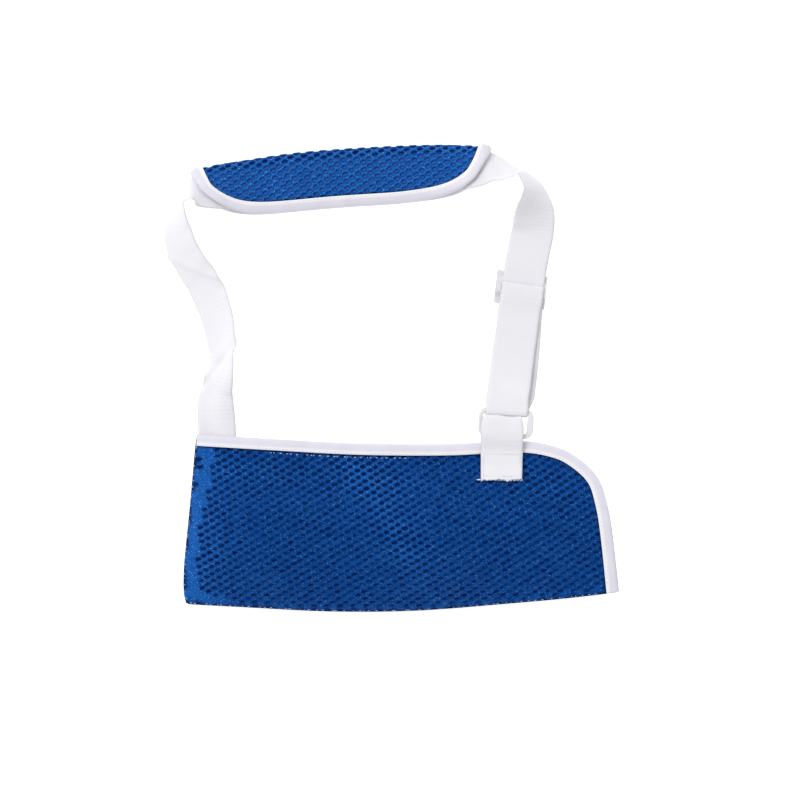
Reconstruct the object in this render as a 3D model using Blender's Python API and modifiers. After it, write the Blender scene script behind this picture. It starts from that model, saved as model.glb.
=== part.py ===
"""An arm sling for a small adult: an air-mesh pouch that holds the forearm, hung from one
webbing neck strap that runs through a folded shoulder pad, a three-bar slider and a ring.

The sling lies on its back: +X towards the wrist, +Y towards the neck, +Z up, z = 0 the surface.
"""

import math

import bmesh
import bpy
import numpy as np
from mathutils import Vector

# Fabric and webbing
GAP = 0.0003  # what touching pieces keep clear
MESH_THICK = 0.0024  # one layer of air mesh
STRAP_WIDTH = 0.038
STRAP_THICK = 0.0013
TAPE_WIDTH = 0.0105  # binding, on each side of the edge that it wraps
TAPE_THICK = 0.0008
TAPE_HALF = MESH_THICK / 2 + 0.0006 + TAPE_THICK / 2  # middle of the tape's leg from the mesh's middle
BOUND_HALF = TAPE_HALF + TAPE_THICK / 2  # half the height of a bound edge
TAPE_SECTION = [  # distance from the edge, and height in shares of TAPE_HALF
    (TAPE_WIDTH - TAPE_THICK / 2, 1),
    (0.0017, 1),
    (0.0005, 0.4),
    (0.0005, -0.4),
    (0.0017, -1),
    (TAPE_WIDTH - TAPE_THICK / 2, -1),
]

# Pouch, seen from above
FREE_EDGE = [  # mouth, rounded corner and wrist end, from the elbow's top to the wrist's bottom
    (-0.1744, -0.0503),
    (-0.1100, -0.0540),
    (-0.0300, -0.0582),
    (0.0500, -0.0588),
    (0.1120, -0.0560),
    (0.1480, -0.0615),
    (0.1700, -0.0735),
    (0.1850, -0.0885),
    (0.1925, -0.1080),
    (0.1980, -0.1350),
    (0.2045, -0.1915),
]
BOTTOM_SEAM = [
    (-0.1843, -0.2025),
    (-0.1276, -0.2052),
    (-0.0556, -0.2087),
    (0.0200, -0.2081),
    (0.1000, -0.2022),
    (0.1600, -0.1968),
    (0.2045, -0.1915),
]
ELBOW_SEAM = [
    (-0.1843, -0.2025),
    (-0.1866, -0.1900),
    (-0.1858, -0.1640),
    (-0.1812, -0.1183),
    (-0.1765, -0.0650),
    (-0.1744, -0.0503),
]
POUCH_CORNER = (0.1775, -0.0806)  # middle of the rounded corner
SEAM_HEIGHT = 0.0070
CROWN = 0.0310  # how far the front panel rises over the seam
WRIST_CROWN = 0.0200  # and how far towards the wrist end, where it lies flatter
MOUTH_RISE = 0.0090  # how much of that rise is left at the free edge
WRIST_STEP = 0.0020  # the back panel shows this far past the front one at the wrist

# Straight run of the neck strap at the wrist side, from the ring's upper bar to the bend
RUN_ANGLE = math.radians(8.45)
RUN_START = (0.1034, -0.0288)  # the middle of the run over the ring's upper bar
RING_ANGLE = math.radians(3)  # the ring lies almost square to the pouch's mouth
RING_CENTRE = (0.1019, -0.0400)
RING_WIDTH, RING_DEPTH, RING_THICK = 0.0494, 0.0272, 0.0025
RING_OPEN_WIDTH, RING_OPEN_DEPTH = 0.0412, 0.0182
RING_AXIS_HEIGHT = 0.0230  # the ring's lower bar, about which it and the strap swing
RING_SLOPE = math.radians(10)  # it hangs down towards the neck
SLIDER_AT = 0.1094  # along the run from the ring's upper bar
SLIDER_WIDTH, SLIDER_LENGTH, BAR_THICK = 0.0450, 0.0300, 0.0022
SLIDER_OPEN_WIDTH = 0.0394
SLIDER_SHIFT = -0.0004  # the strap lies against its rail on the wrist side
TAB_ANGLE = RING_ANGLE
TAB_WIDTH = 0.0370
TAB_SHIFT = -0.0013  # to the elbow side of the middle of the ring

# Neck strap from the elbow to the wrist side: x, y and tilt in degrees, inner edge raised
ELBOW_RUN = [
    (-0.1560, -0.0380, 6),
    (-0.1568, -0.0256, 16),
    (-0.1562, -0.0140, 27),
    (-0.1535, -0.0010, 42),
    (-0.1513, 0.0117, 54),
    (-0.1512, 0.0210, 54),
    (-0.1517, 0.0312, 47),
    (-0.1534, 0.0439, 43),
    (-0.1559, 0.0549, 40),
    (-0.1597, 0.0664, 36),
    (-0.1643, 0.0772, 35),
    (-0.1702, 0.0887, 36),
    (-0.1770, 0.0984, 38),
    (-0.1856, 0.1130, 41),
    (-0.1908, 0.1300, 46),
    (-0.1915, 0.1427, 58),
    (-0.1900, 0.1510, 69),
    (-0.1866, 0.1590, 78),
]
PAD_RUN = [  # inside the shoulder pad, which follows the same line and tilt
    (-0.1790, 0.1672, 50),
    (-0.1620, 0.1690, 29),
    (-0.1340, 0.1718, 7),
    (-0.0890, 0.1785, 0),
    (-0.0450, 0.1824, 0),
    (0.0070, 0.1853, 0),
    (0.0430, 0.1863, 7),
    (0.0660, 0.1867, 20),
    (0.0840, 0.1884, 36),
]
WRIST_BEND = [
    (0.0960, 0.1883, 54),
    (0.1075, 0.1866, 74),
    (0.1195, 0.1803, 76),
    (0.1262, 0.1715, 64),
    (0.1283, 0.1625, 47),
    (0.1285, 0.1520, 26),
    (0.1275, 0.1400, 8),
]
WRIST_LIFT = 0.0044  # the bend stands this far off the surface
RUN_STARTS_AT = 0.1588  # the run is flat and straight from the ring's side up to here
RUN_HEIGHT = BAR_THICK + GAP + STRAP_THICK / 2

# Shoulder pad, in the pad run's own plane: s along it, t across it towards the fold
PAD_FREE_EDGE = [
    (-0.001, 0.0235),
    (0.0050, 0.0060),
    (0.0120, -0.0080),
    (0.0280, -0.0190),
    (0.0500, -0.0258),
    (0.0830, -0.0290),
    (0.1355, -0.0292),
    (0.1880, -0.0285),
    (0.2280, -0.0240),
    (0.2500, -0.0145),
    (0.2610, -0.0020),
    (0.2680, 0.0120),
    (0.2710, 0.0235),
]
PAD_CORNERS = (3, 9)  # where the free edge turns from an end into the long side
PAD_FOLD = 0.0172  # where the cover starts to turn over
PAD_HALF = 0.0052  # middle of a leaf from the strap's plane
PAD_TAPE_HALF = TAPE_HALF + 0.0004  # the pad's tape, over its curved leaves
PAD_BOUND_HALF = PAD_TAPE_HALF + TAPE_THICK / 2
PAD_HALF_SEWN = PAD_BOUND_HALF + GAP / 2

WHITE = (0.83, 0.82, 0.86)
BLUE = (0.010, 0.090, 0.400)


def material(name, colour, roughness):
    made = bpy.data.materials.get(name) or bpy.data.materials.new(name)
    made.use_nodes = True
    shader = made.node_tree.nodes["Principled BSDF"]
    shader.inputs["Base Color"].default_value = (*colour, 1)
    shader.inputs["Roughness"].default_value = roughness
    shader.inputs["Metallic"].default_value = 0
    return made


def smooth(points, steps=12):
    """A Catmull-Rom curve through the points, with the ends' directions mirrored."""
    p = np.array(points, float)
    p = np.vstack([2 * p[0] - p[1], p, 2 * p[-1] - p[-2]])
    out = []
    for a, b, c, d in zip(p, p[1:], p[2:], p[3:]):
        for t in np.arange(steps) / steps:
            out.append(
                0.5 * (2 * b + (c - a) * t + (2 * a - 5 * b + 4 * c - d) * t**2 + (3 * b - 3 * c + d - a) * t**3)
            )
    return np.array(out + [p[-2]])


def lengths(points, axes=2):
    steps = np.linalg.norm(np.diff(points[:, :axes], axis=0), axis=1)
    return np.concatenate([[0], np.cumsum(steps)])


def at(points, where, axes=2):
    """The curve's points at these lengths along it."""
    along = lengths(points, axes)
    return np.stack([np.interp(where, along, points[:, k]) for k in range(points.shape[1])], axis=-1)


def spread(points, shares):
    return at(points, np.asarray(shares) * lengths(points)[-1])


def ease(x):
    x = np.clip(x, 0, 1)
    return x * x * (3 - 2 * x)


def distance(p, line):
    """How far each point of p lies from a line of points."""
    a, b = line[:-1], line[1:]
    ab = b - a
    share = np.einsum("nmk,mk->nm", p[:, None] - a, ab) / (ab**2).sum(axis=1)
    near = a + np.clip(share, 0, 1)[..., None] * ab
    return np.linalg.norm(p[:, None] - near, axis=2).min(axis=1)


def inward(line, amount):
    """The line moved to its right-hand side, which is the pouch's inside on the free edge."""
    along = np.gradient(line, axis=0)
    along /= np.linalg.norm(along, axis=1)[:, None]
    return line + np.stack([along[:, 1], -along[:, 0]], axis=1) * np.reshape(amount, (-1, 1))


def collect(obj, colour_name, colour, roughness):
    obj.data.materials.append(material(colour_name, colour, roughness))
    for holder in list(obj.users_collection):
        holder.objects.unlink(obj)
    SLING.objects.link(obj)
    return obj


def sheet(name, place, along, across, thick, finish, even=True):
    """A grid laid out by place(u, v) and given its thickness. u and v run from 0 to 1."""
    bm = bmesh.new()
    bmesh.ops.create_grid(bm, x_segments=along, y_segments=across, size=1)
    uv = np.array([vertex.co[:2] for vertex in bm.verts]) / 2 + 0.5
    for vertex, spot in zip(bm.verts, place(uv[:, 0], uv[:, 1])):
        vertex.co = spot
    mesh = bpy.data.meshes.new(name)
    bm.to_mesh(mesh)
    bm.free()
    mesh.shade_smooth()
    obj = bpy.data.objects.new(name, mesh)
    solid = obj.modifiers.new("thickness", "SOLIDIFY")
    solid.thickness = thick
    solid.offset = 0
    solid.use_even_offset = even
    return collect(obj, *finish)


WEBBING = ("webbing", WHITE, 0.85)
TAPE = ("binding_tape", WHITE, 0.8)
MESH = ("air_mesh", BLUE, 0.8)
PLASTIC = ("white_plastic", (0.80, 0.80, 0.82), 0.35)


# The pouch's panels


def free_edge(front):
    line = spread(smooth(FREE_EDGE), np.linspace(0, 1, 161))
    share = lengths(line) / lengths(line)[-1]
    return inward(line, WRIST_STEP * ease((share - 0.7) / 0.2)) if front else line


def panel_height(p, front):
    """Height of a panel's middle at the points p."""
    bottom = distance(p, smooth(BOTTOM_SEAM))
    elbow = distance(p, smooth(ELBOW_SEAM))
    free = distance(p, free_edge(False))
    corner = (1 - ease(free / 0.040)) * (1 - ease(np.minimum(bottom, elbow) / 0.045))
    apart = MESH_THICK / 2 + GAP / 2 + (BOUND_HALF + GAP - MESH_THICK / 2 + STRAP_THICK / 2) * corner
    if front:
        rise = (1 - (1 - np.clip(bottom / 0.075, 0, 1)) ** 2) * (1 - (1 - np.clip(elbow / 0.085, 0, 1)) ** 2)
        crown = CROWN + (WRIST_CROWN - CROWN) * ease((p[:, 0] - 0.010) / 0.150)
        return SEAM_HEIGHT + apart + rise * (MOUTH_RISE + (crown - MOUTH_RISE) * ease((free - 0.012) / 0.062))
    lying = MESH_THICK / 2 + (BOUND_HALF - MESH_THICK / 2) * (1 - ease((free - 0.010) / 0.020))
    fall = (1 - (1 - np.clip(bottom / 0.045, 0, 1)) ** 2) * (1 - (1 - np.clip(elbow / 0.045, 0, 1)) ** 2)
    return lying + (SEAM_HEIGHT - apart - lying) * (1 - fall)


def panel(name, front):
    """A panel of the pouch, whose cut edge lies 2 mm inside its binding."""
    edge = inward(free_edge(front), 0.0020)
    corner = np.argmin(np.linalg.norm(edge - POUCH_CORNER, axis=1))
    top, wrist = edge[: corner + 1], edge[corner:][::-1]
    bottom, elbow = smooth(BOTTOM_SEAM).copy(), smooth(ELBOW_SEAM).copy()
    bottom[-1], elbow[-1] = wrist[0], top[0]

    def place(u, v):
        lower, upper = spread(bottom, u), spread(top, u)
        left, right = spread(elbow, v), spread(wrist, v)
        u, v = u[:, None], v[:, None]
        corners = (1 - u) * (1 - v) * bottom[0] + u * (1 - v) * bottom[-1] + (1 - u) * v * top[0] + u * v * top[-1]
        flat = (1 - v) * lower + v * upper + (1 - u) * left + u * right - corners
        return np.column_stack([flat, panel_height(flat, front)])

    return sheet(name, place, 22, 10, MESH_THICK, MESH, even=False)


def binding(name, front):
    """Tape folded round the free edge of a panel: two legs and a rounded back."""
    edge = free_edge(front)
    turn = np.array(TAPE_SECTION)

    def place(u, v):
        k = np.rint(v * (len(turn) - 1)).astype(int)
        station = spread(edge, u)
        ahead, behind = spread(edge, np.minimum(u + 0.004, 1)), spread(edge, np.maximum(u - 0.004, 0))
        along = ahead - behind
        along /= np.linalg.norm(along, axis=1)[:, None]
        spot = station + np.stack([along[:, 1], -along[:, 0]], axis=1) * turn[k, 0][:, None]
        return np.column_stack([spot, panel_height(spot, front) + TAPE_HALF * turn[k, 1]])

    return sheet(name, place, 44, len(turn) - 1, TAPE_THICK, TAPE)


# Ribbons of webbing


def ribbon(name, centre, tilt, width, facing=None):
    """A flat ribbon along the centre line. It is level across, then turned by tilt about its own line.

    The edge on the right-hand side of the line is raised by a positive tilt. facing gives the level
    sideways direction, for a ribbon that turns back over itself.
    """
    along = np.gradient(centre, axis=0)
    if facing is None:
        level = np.stack([along[:, 1], -along[:, 0]], axis=1)
        level /= np.linalg.norm(level, axis=1)[:, None]
    else:
        level = np.tile(facing, (len(centre), 1))
    side = np.column_stack([level * np.cos(tilt)[:, None], np.sin(tilt)])
    count = len(centre) - 1

    def place(u, v):
        k = np.rint(u * count).astype(int)
        return centre[k] + side[k] * ((v - 0.5) * width)[:, None]

    return sheet(name, place, count, 1, STRAP_THICK, WEBBING)


def run_point(r, z, sideways=0.0):
    """A point of the wrist-side run: r along it from the ring's upper bar, z its height."""
    x = RUN_START[0] + r * math.sin(RUN_ANGLE) + sideways * math.cos(RUN_ANGLE)
    return np.array([x, RUN_START[1] + r * math.cos(RUN_ANGLE) - sideways * math.sin(RUN_ANGLE), z])


def turned_square(obj):
    """Brings the webbing near the ring square to its bar, which is not quite square to the run."""
    ahead = Vector((math.sin(RUN_ANGLE), math.cos(RUN_ANGLE), 0))
    beside = Vector((math.cos(RUN_ANGLE), -math.sin(RUN_ANGLE), 0))
    for vertex in obj.data.vertices:
        away = vertex.co - Vector((*RUN_START, 0))
        r, s = away.dot(ahead), away.dot(beside)
        if abs(s) < STRAP_WIDTH:
            vertex.co += ahead * (s * math.tan(RUN_ANGLE - RING_ANGLE) * (1 - float(ease(r / 0.050))))
    return obj


BAR_REACH = (RING_OPEN_DEPTH + RING_DEPTH) / 4  # from the ring's centre to the middle of a bar
LOWER_BAR = (
    RING_CENTRE[0] - BAR_REACH * math.sin(RING_ANGLE),
    RING_CENTRE[1] - BAR_REACH * math.cos(RING_ANGLE),
)
UPPER_BAR_HEIGHT = RING_AXIS_HEIGHT - 2 * BAR_REACH * math.sin(RING_SLOPE)
TURN_RADIUS = RING_THICK / 2 + 2 * GAP + STRAP_THICK / 2
BAR_HALF = (RING_DEPTH - RING_OPEN_DEPTH) / 4


def pad_height(tilt):
    return PAD_HALF + PAD_BOUND_HALF + 0.0012 + PAD_FOLD * np.sin(np.radians(tilt))


def strap_height(tilt):
    return (STRAP_WIDTH / 2) * np.sin(np.radians(tilt)) + STRAP_THICK / 2 + GAP


def strap_route(steps):
    """x, y, z and tilt of the neck strap from the elbow to the ring, so many steps to a point."""
    route = []
    for x, y, tilt in ELBOW_RUN:
        hung = 0.0063 * (1 - ease((y - ELBOW_RUN[0][1]) / 0.030))  # held up by the mouth at the elbow
        route.append((x, y, strap_height(tilt) + hung, tilt))
    route += [(x, y, pad_height(tilt), tilt) for x, y, tilt in PAD_RUN]
    route += [(x, y, strap_height(tilt) + WRIST_LIFT, tilt) for x, y, tilt in WRIST_BEND]
    for r in (RUN_STARTS_AT, 0.130, 0.100, 0.070, 0.050, 0.040):
        route.append((*run_point(r, RUN_HEIGHT), 0))
    line = smooth(route, steps)
    line[:, 3] = np.maximum(line[:, 3], 0)
    return line


def neck_strap():
    """One ribbon from the elbow to just past the ring's upper bar, round which it turns back."""
    line = strap_route(4)
    flat = np.where(line[:, 1] > 0.1300)[0][-1] + 1  # the straight run's heights hold from here on
    line[flat:, 2] = RUN_HEIGHT
    slope = [(0.034, RUN_HEIGHT), (0.027, 0.0052), (0.019, 0.0090), (0.010, 0.0132)]
    slope.append((0.001, UPPER_BAR_HEIGHT - TURN_RADIUS))
    down = smooth([(0.040, RUN_HEIGHT)] + slope, 3)[1:]
    turn = np.radians(np.arange(-75, 91, 27.5))
    tip = -BAR_HALF - TURN_RADIUS * np.cos(turn)
    round_bar = np.column_stack([tip, UPPER_BAR_HEIGHT + TURN_RADIUS * np.sin(turn)])
    end = np.vstack([down, round_bar, [(0.001, UPPER_BAR_HEIGHT + TURN_RADIUS)]])
    tail = np.array([run_point(r, z) for r, z in end])
    centre = np.vstack([line[:, :3], tail])
    tilt = np.radians(np.concatenate([line[:, 3], np.zeros(len(tail))]))
    along = np.gradient(centre[:, :2], axis=0)
    level = np.stack([along[:, 1], -along[:, 0]], axis=1)
    level /= np.linalg.norm(level, axis=1)[:, None]
    level[len(line) - 6 :] = (-math.cos(RUN_ANGLE), math.sin(RUN_ANGLE))
    side = np.column_stack([level * np.cos(tilt)[:, None], np.sin(tilt)])
    count = len(centre) - 1

    def place(u, v):
        k = np.rint(u * count).astype(int)
        return centre[k] + side[k] * ((v - 0.5) * STRAP_WIDTH)[:, None]

    return turned_square(sheet("neck_strap", place, count, 1, STRAP_THICK, WEBBING))


def run_ribbon(name, path, width=STRAP_WIDTH):
    """A ribbon whose path is given as r and z of the wrist-side run."""
    centre = np.array([run_point(r, z) for r, z in path])
    facing = (math.cos(RUN_ANGLE), -math.sin(RUN_ANGLE))
    return ribbon(name, centre, np.zeros(len(centre)), width, facing=facing)


END_LOW = RUN_HEIGHT + STRAP_THICK + GAP  # the sewn-under end, on the run
CENTRE_BAR_HEIGHT = END_LOW + STRAP_THICK / 2 + GAP + 0.0009
WRAP_RADIUS = 0.0009 + GAP + STRAP_THICK / 2
RETURN_LOW = END_LOW + STRAP_THICK + GAP
END_LENGTH = 0.028


def strap_end():
    """The strap's last stretch, wrapped round the slider's centre bar and sewn to itself."""
    bar = SLIDER_AT + 0.0024
    under = [(SLIDER_AT - END_LENGTH, END_LOW), (SLIDER_AT - 0.014, END_LOW), (bar - 0.001, END_LOW)]
    turn = np.radians(np.arange(-70, 71, 28))
    wrap = [(bar + WRAP_RADIUS * math.cos(a), CENTRE_BAR_HEIGHT + WRAP_RADIUS * math.sin(a)) for a in turn]
    top = CENTRE_BAR_HEIGHT + WRAP_RADIUS
    over = [(bar - 0.001, top), (SLIDER_AT - 0.003, top), (SLIDER_AT - 0.009, top - 0.0006)]
    over += [(SLIDER_AT - 0.018, RETURN_LOW + 0.0003), (SLIDER_AT - END_LENGTH - 0.004, RETURN_LOW)]
    return run_ribbon("strap_end", under + wrap + over, STRAP_WIDTH - 0.0002)


def strap_return():
    """The upper layer, from the turn round the ring back to the sewn end."""
    top = UPPER_BAR_HEIGHT + TURN_RADIUS
    path = [(0.0014, top), (0.010, top - 0.0016), (0.020, top - 0.0052), (0.032, 0.0104), (0.044, 0.0074)]
    path += [(0.058, RETURN_LOW + 0.0002), (SLIDER_AT - END_LENGTH - 0.0045, RETURN_LOW)]
    return turned_square(run_ribbon("strap_return", smooth(path, 3)))


def strap_anchor():
    """The strap's sewn-in end: from its seam inside the elbow corner out through the mouth."""
    path = [(-0.1515, -0.0890, 0.0078, 2), (-0.1535, -0.0700, 0.0080, 3), (-0.1555, -0.0520, 0.0092, 6)]
    first = strap_route(4)[0]
    path.append((first[0], first[1] - 0.0016, first[2], first[3]))
    line = smooth(path, 5)
    return ribbon("strap_anchor", line[:, :3], np.radians(line[:, 3]), STRAP_WIDTH)


def anchor_tab():
    """Webbing folded round the ring's lower bar and sewn on to the front panel over its binding."""
    ahead = np.array([math.sin(TAB_ANGLE), math.cos(TAB_ANGLE)])

    def over_panel(q, lift):
        spot = np.array([LOWER_BAR]) + q * ahead
        bound = BOUND_HALF - (BOUND_HALF - MESH_THICK / 2) * ease((-q - 0.020) / 0.012)
        return (q, float(panel_height(spot, True)[0] + bound + lift))

    low, high = 0.0022, 0.0040
    z = RING_AXIS_HEIGHT
    path = [over_panel(q, low) for q in (-0.034, -0.028, -0.020, -0.013, -0.0055)]
    path += [(-0.002, z - 0.0039), (0.003, z - 0.0040), (0.009, z - 0.0038), (0.0138, z - 0.0027)]
    path += [(0.0158, z), (0.0143, z + 0.0028), (0.009, z + 0.0042), (0.003, z + 0.0046)]
    path += [(-0.003, z + 0.0038)]
    path += [over_panel(q, high) for q in (-0.013, -0.020, -0.028, -0.0395)]
    line = smooth(path, 3)
    facing = (math.cos(TAB_ANGLE), -math.sin(TAB_ANGLE))
    middle = np.array(LOWER_BAR) + TAB_SHIFT * np.array(facing)
    centre = np.array([(*(middle + q * ahead), height) for q, height in line])
    return ribbon("anchor_tab", centre, np.zeros(len(centre)), TAB_WIDTH, facing=facing)


# Plastic fittings


def rounded_rectangle(width, depth, radius, steps=5):
    points = []
    for quarter in range(4):
        sx, sy = ((1, 1), (-1, 1), (-1, -1), (1, -1))[quarter]
        for step in range(steps + 1):
            a = math.radians(90 * (quarter + step / steps))
            points.append((sx * (width / 2 - radius) + radius * math.cos(a), sy * (depth / 2 - radius) + radius * math.sin(a)))
    return points


def ring():
    """A flat rectangular ring with rounded ends: an outline with one opening."""
    outline = bpy.data.curves.new("ring", "CURVE")
    outline.dimensions = "2D"
    outline.fill_mode = "BOTH"
    outline.extrude = RING_THICK / 2
    shapes = (
        rounded_rectangle(RING_WIDTH, RING_DEPTH, 0.0065),
        rounded_rectangle(RING_OPEN_WIDTH, RING_OPEN_DEPTH, 0.0012, 2),
    )
    for shape in shapes:
        spline = outline.splines.new("POLY")
        spline.points.add(len(shape) - 1)
        spline.use_cyclic_u = True
        for point, (x, y) in zip(spline.points, shape):
            point.co = (x, y, 0, 1)
    obj = bpy.data.objects.new("ring", outline)
    middle = (RING_AXIS_HEIGHT + UPPER_BAR_HEIGHT) / 2
    obj.location = (*RING_CENTRE, middle)
    obj.rotation_euler = (-RING_SLOPE, 0, -RING_ANGLE)
    return collect(obj, *PLASTIC)


def box(name, low, high):
    """A box between two corners given sideways, along the run and up, at the slider's place."""
    bm = bmesh.new()
    bmesh.ops.create_cube(bm, size=1)
    for vertex in bm.verts:
        s, r, z = (lo + (c + 0.5) * (hi - lo) for lo, hi, c in zip(low, high, vertex.co))
        vertex.co = run_point(SLIDER_AT + r, z, s + SLIDER_SHIFT)
    mesh = bpy.data.meshes.new(name)
    bm.to_mesh(mesh)
    bm.free()
    return bpy.data.objects.new(name, mesh)


def rail(name, inner, outer):
    """A side rail of the slider: flat at both ends and arched over the strap's level in the middle."""
    low, high = CENTRE_BAR_HEIGHT - 0.0009, CENTRE_BAR_HEIGHT + 0.0009
    end = SLIDER_LENGTH / 2
    profile = [(-end, 0), (-0.0092, 0), (-0.0040, low), (0.0040, low), (0.0092, 0), (end, 0), (end, BAR_THICK)]
    profile += [(0.0100, BAR_THICK), (0.0045, high), (-0.0045, high), (-0.0100, BAR_THICK), (-end, BAR_THICK)]
    bm = bmesh.new()
    face = bm.faces.new([bm.verts.new(run_point(SLIDER_AT + r, z, inner + SLIDER_SHIFT)) for r, z in profile])
    pushed = bmesh.ops.extrude_face_region(bm, geom=[face])
    step = run_point(0, 0, outer) - run_point(0, 0, inner)
    moved = [item for item in pushed["geom"] if isinstance(item, bmesh.types.BMVert)]
    bmesh.ops.translate(bm, vec=Vector(step), verts=moved)
    bmesh.ops.recalc_face_normals(bm, faces=bm.faces)
    mesh = bpy.data.meshes.new(name)
    bm.to_mesh(mesh)
    bm.free()
    return bpy.data.objects.new(name, mesh)


def slider_frame():
    """Two arched rails joined by two low outer bars and one raised centre bar."""
    inner, outer, end = SLIDER_OPEN_WIDTH / 2, SLIDER_WIDTH / 2, SLIDER_LENGTH / 2
    frame = rail("slider_frame", inner, outer)
    pieces = [rail("other_rail", -inner, -outer)]
    reach = inner + 0.0010
    for side in (-1, 1):
        low, high = sorted((side * (end - 0.0002), side * (end - 0.0045)))
        pieces.append(box("outer_bar", (-reach, low, 0.0001), (reach, high, BAR_THICK - 0.0001)))
    half = 0.0008
    spot = ((-reach, -0.0024, CENTRE_BAR_HEIGHT - half), (reach, 0.0024, CENTRE_BAR_HEIGHT + half))
    pieces.append(box("centre_bar", *spot))
    for number, piece in enumerate(pieces):
        HELPERS.objects.link(piece)
        piece.hide_render = True
        piece.display_type = "WIRE"
        union = frame.modifiers.new(f"joined {number}", "BOOLEAN")
        union.operation = "UNION"
        union.object = piece
    return collect(frame, *PLASTIC)


# Shoulder pad


def pad_plane(s, t, n):
    """A point of the pad: s along its run, t across it towards the fold, n off the strap's plane."""
    run = strap_route(9)[len(ELBOW_RUN) * 9 : (len(ELBOW_RUN) + len(PAD_RUN)) * 9 + 1]
    total = lengths(run)[-1]
    reach = np.clip(s, 0, total)
    spot, ahead, behind = at(run, reach), at(run, np.minimum(reach + 0.002, total)), at(run, np.maximum(reach - 0.002, 0))
    along = ahead[:, :2] - behind[:, :2]
    along /= np.linalg.norm(along, axis=1)[:, None]
    spot[:, :2] += along * (s - reach)[:, None]
    left = np.stack([-along[:, 1], along[:, 0]], axis=1)
    tilt = np.radians(spot[:, 3])
    across = np.column_stack([left * np.cos(tilt)[:, None], -np.sin(tilt)])
    out = np.column_stack([left * np.sin(tilt)[:, None], np.cos(tilt)])
    return spot[:, :3] + across * t[:, None] + out * n[:, None]


def leaf_half(t):
    """Middle of a leaf from the strap's plane: apart over the strap, together where they are sewn."""
    return PAD_HALF_SEWN + (PAD_HALF - PAD_HALF_SEWN) * ease((t + 0.0300) / 0.0110)


def pad_edge():
    return smooth(PAD_FREE_EDGE, 12)


def pad_patch(u, v, inset):
    """s and t of a leaf: u along it, v from the free edge (0) to the start of the fold (1)."""
    line = inward(pad_edge()[::-1], inset)[::-1]
    first, last = PAD_CORNERS[0] * 12, PAD_CORNERS[1] * 12
    left, low, right = line[: first + 1][::-1], line[first : last + 1], line[last:]
    top = np.array([(left[-1, 0] + 0.0008, PAD_FOLD), (right[-1, 0] - 0.0008, PAD_FOLD)])
    left[-1], right[-1] = top[0], top[1]
    a, b, c, d = spread(low, u), spread(top, u), spread(left, v), spread(right, v)
    u, v = u[:, None], v[:, None]
    corners = (1 - u) * (1 - v) * low[0] + u * (1 - v) * low[-1] + (1 - u) * v * top[0] + u * v * top[1]
    return (1 - v) * a + v * b + (1 - u) * c + u * d - corners


def pad_cover():
    """Air mesh folded over the strap: back leaf, rolled fold, front leaf."""
    leaf_rows, roll_rows = 8, 5
    rows = 2 * leaf_rows + roll_rows

    def place(u, v):
        row = np.rint(v * rows).astype(int)
        back, front = row <= leaf_rows, row >= leaf_rows + roll_rows
        share = np.where(back, row / leaf_rows, np.where(front, (rows - row) / leaf_rows, 1))
        dense = u - 0.08 * np.sin(2 * np.pi * u)  # shorter steps at the twisted ends
        flat = pad_patch(dense, share, 0.0022)
        turn = np.pi * (np.clip((row - leaf_rows) / roll_rows, 0, 1) - 0.5)
        roll = ~back & ~front
        t = flat[:, 1] + np.where(roll, PAD_HALF * np.cos(turn), 0)
        n = np.where(roll, PAD_HALF * np.sin(turn), leaf_half(flat[:, 1]) * np.where(front, 1, -1))
        return pad_plane(flat[:, 0], t, n)

    return sheet("pad_cover", place, 24, rows, MESH_THICK, MESH, even=False)


def pad_binding(name, side):
    """Tape round the free edge of one leaf, from the fold at one end to the fold at the other."""
    turn = np.array(TAPE_SECTION)
    line = pad_edge()
    tape_end = PAD_FOLD - 0.0016
    line = line[line[:, 1] < tape_end][::-1]

    def place(u, v):
        k = np.rint(v * (len(turn) - 1)).astype(int)
        station = spread(line, u)
        along = spread(line, np.minimum(u + 0.01, 1)) - spread(line, np.maximum(u - 0.01, 0))
        along /= np.linalg.norm(along, axis=1)[:, None]
        spot = station + np.stack([along[:, 1], -along[:, 0]], axis=1) * turn[k, 0][:, None]
        spot[:, 1] = np.minimum(spot[:, 1], tape_end)
        n = side * leaf_half(spot[:, 1]) + PAD_TAPE_HALF * turn[k, 1]
        return pad_plane(spot[:, 0], spot[:, 1], n)

    return sheet(name, place, 48, len(turn) - 1, TAPE_THICK, TAPE)


for old in list(bpy.data.objects):
    bpy.data.objects.remove(old)
SLING = bpy.data.collections.new("arm_sling")
HELPERS = bpy.data.collections.new("helpers")
for made in (SLING, HELPERS):
    bpy.context.scene.collection.children.link(made)

panel("pouch_back_panel", False)
panel("pouch_front_panel", True)
binding("pouch_back_binding", False)
binding("pouch_front_binding", True)
strap_anchor()
anchor_tab()
neck_strap()
ring()
strap_return()
slider_frame()
strap_end()
pad_cover()
pad_binding("pad_back_binding", -1)
pad_binding("pad_front_binding", 1)
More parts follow.
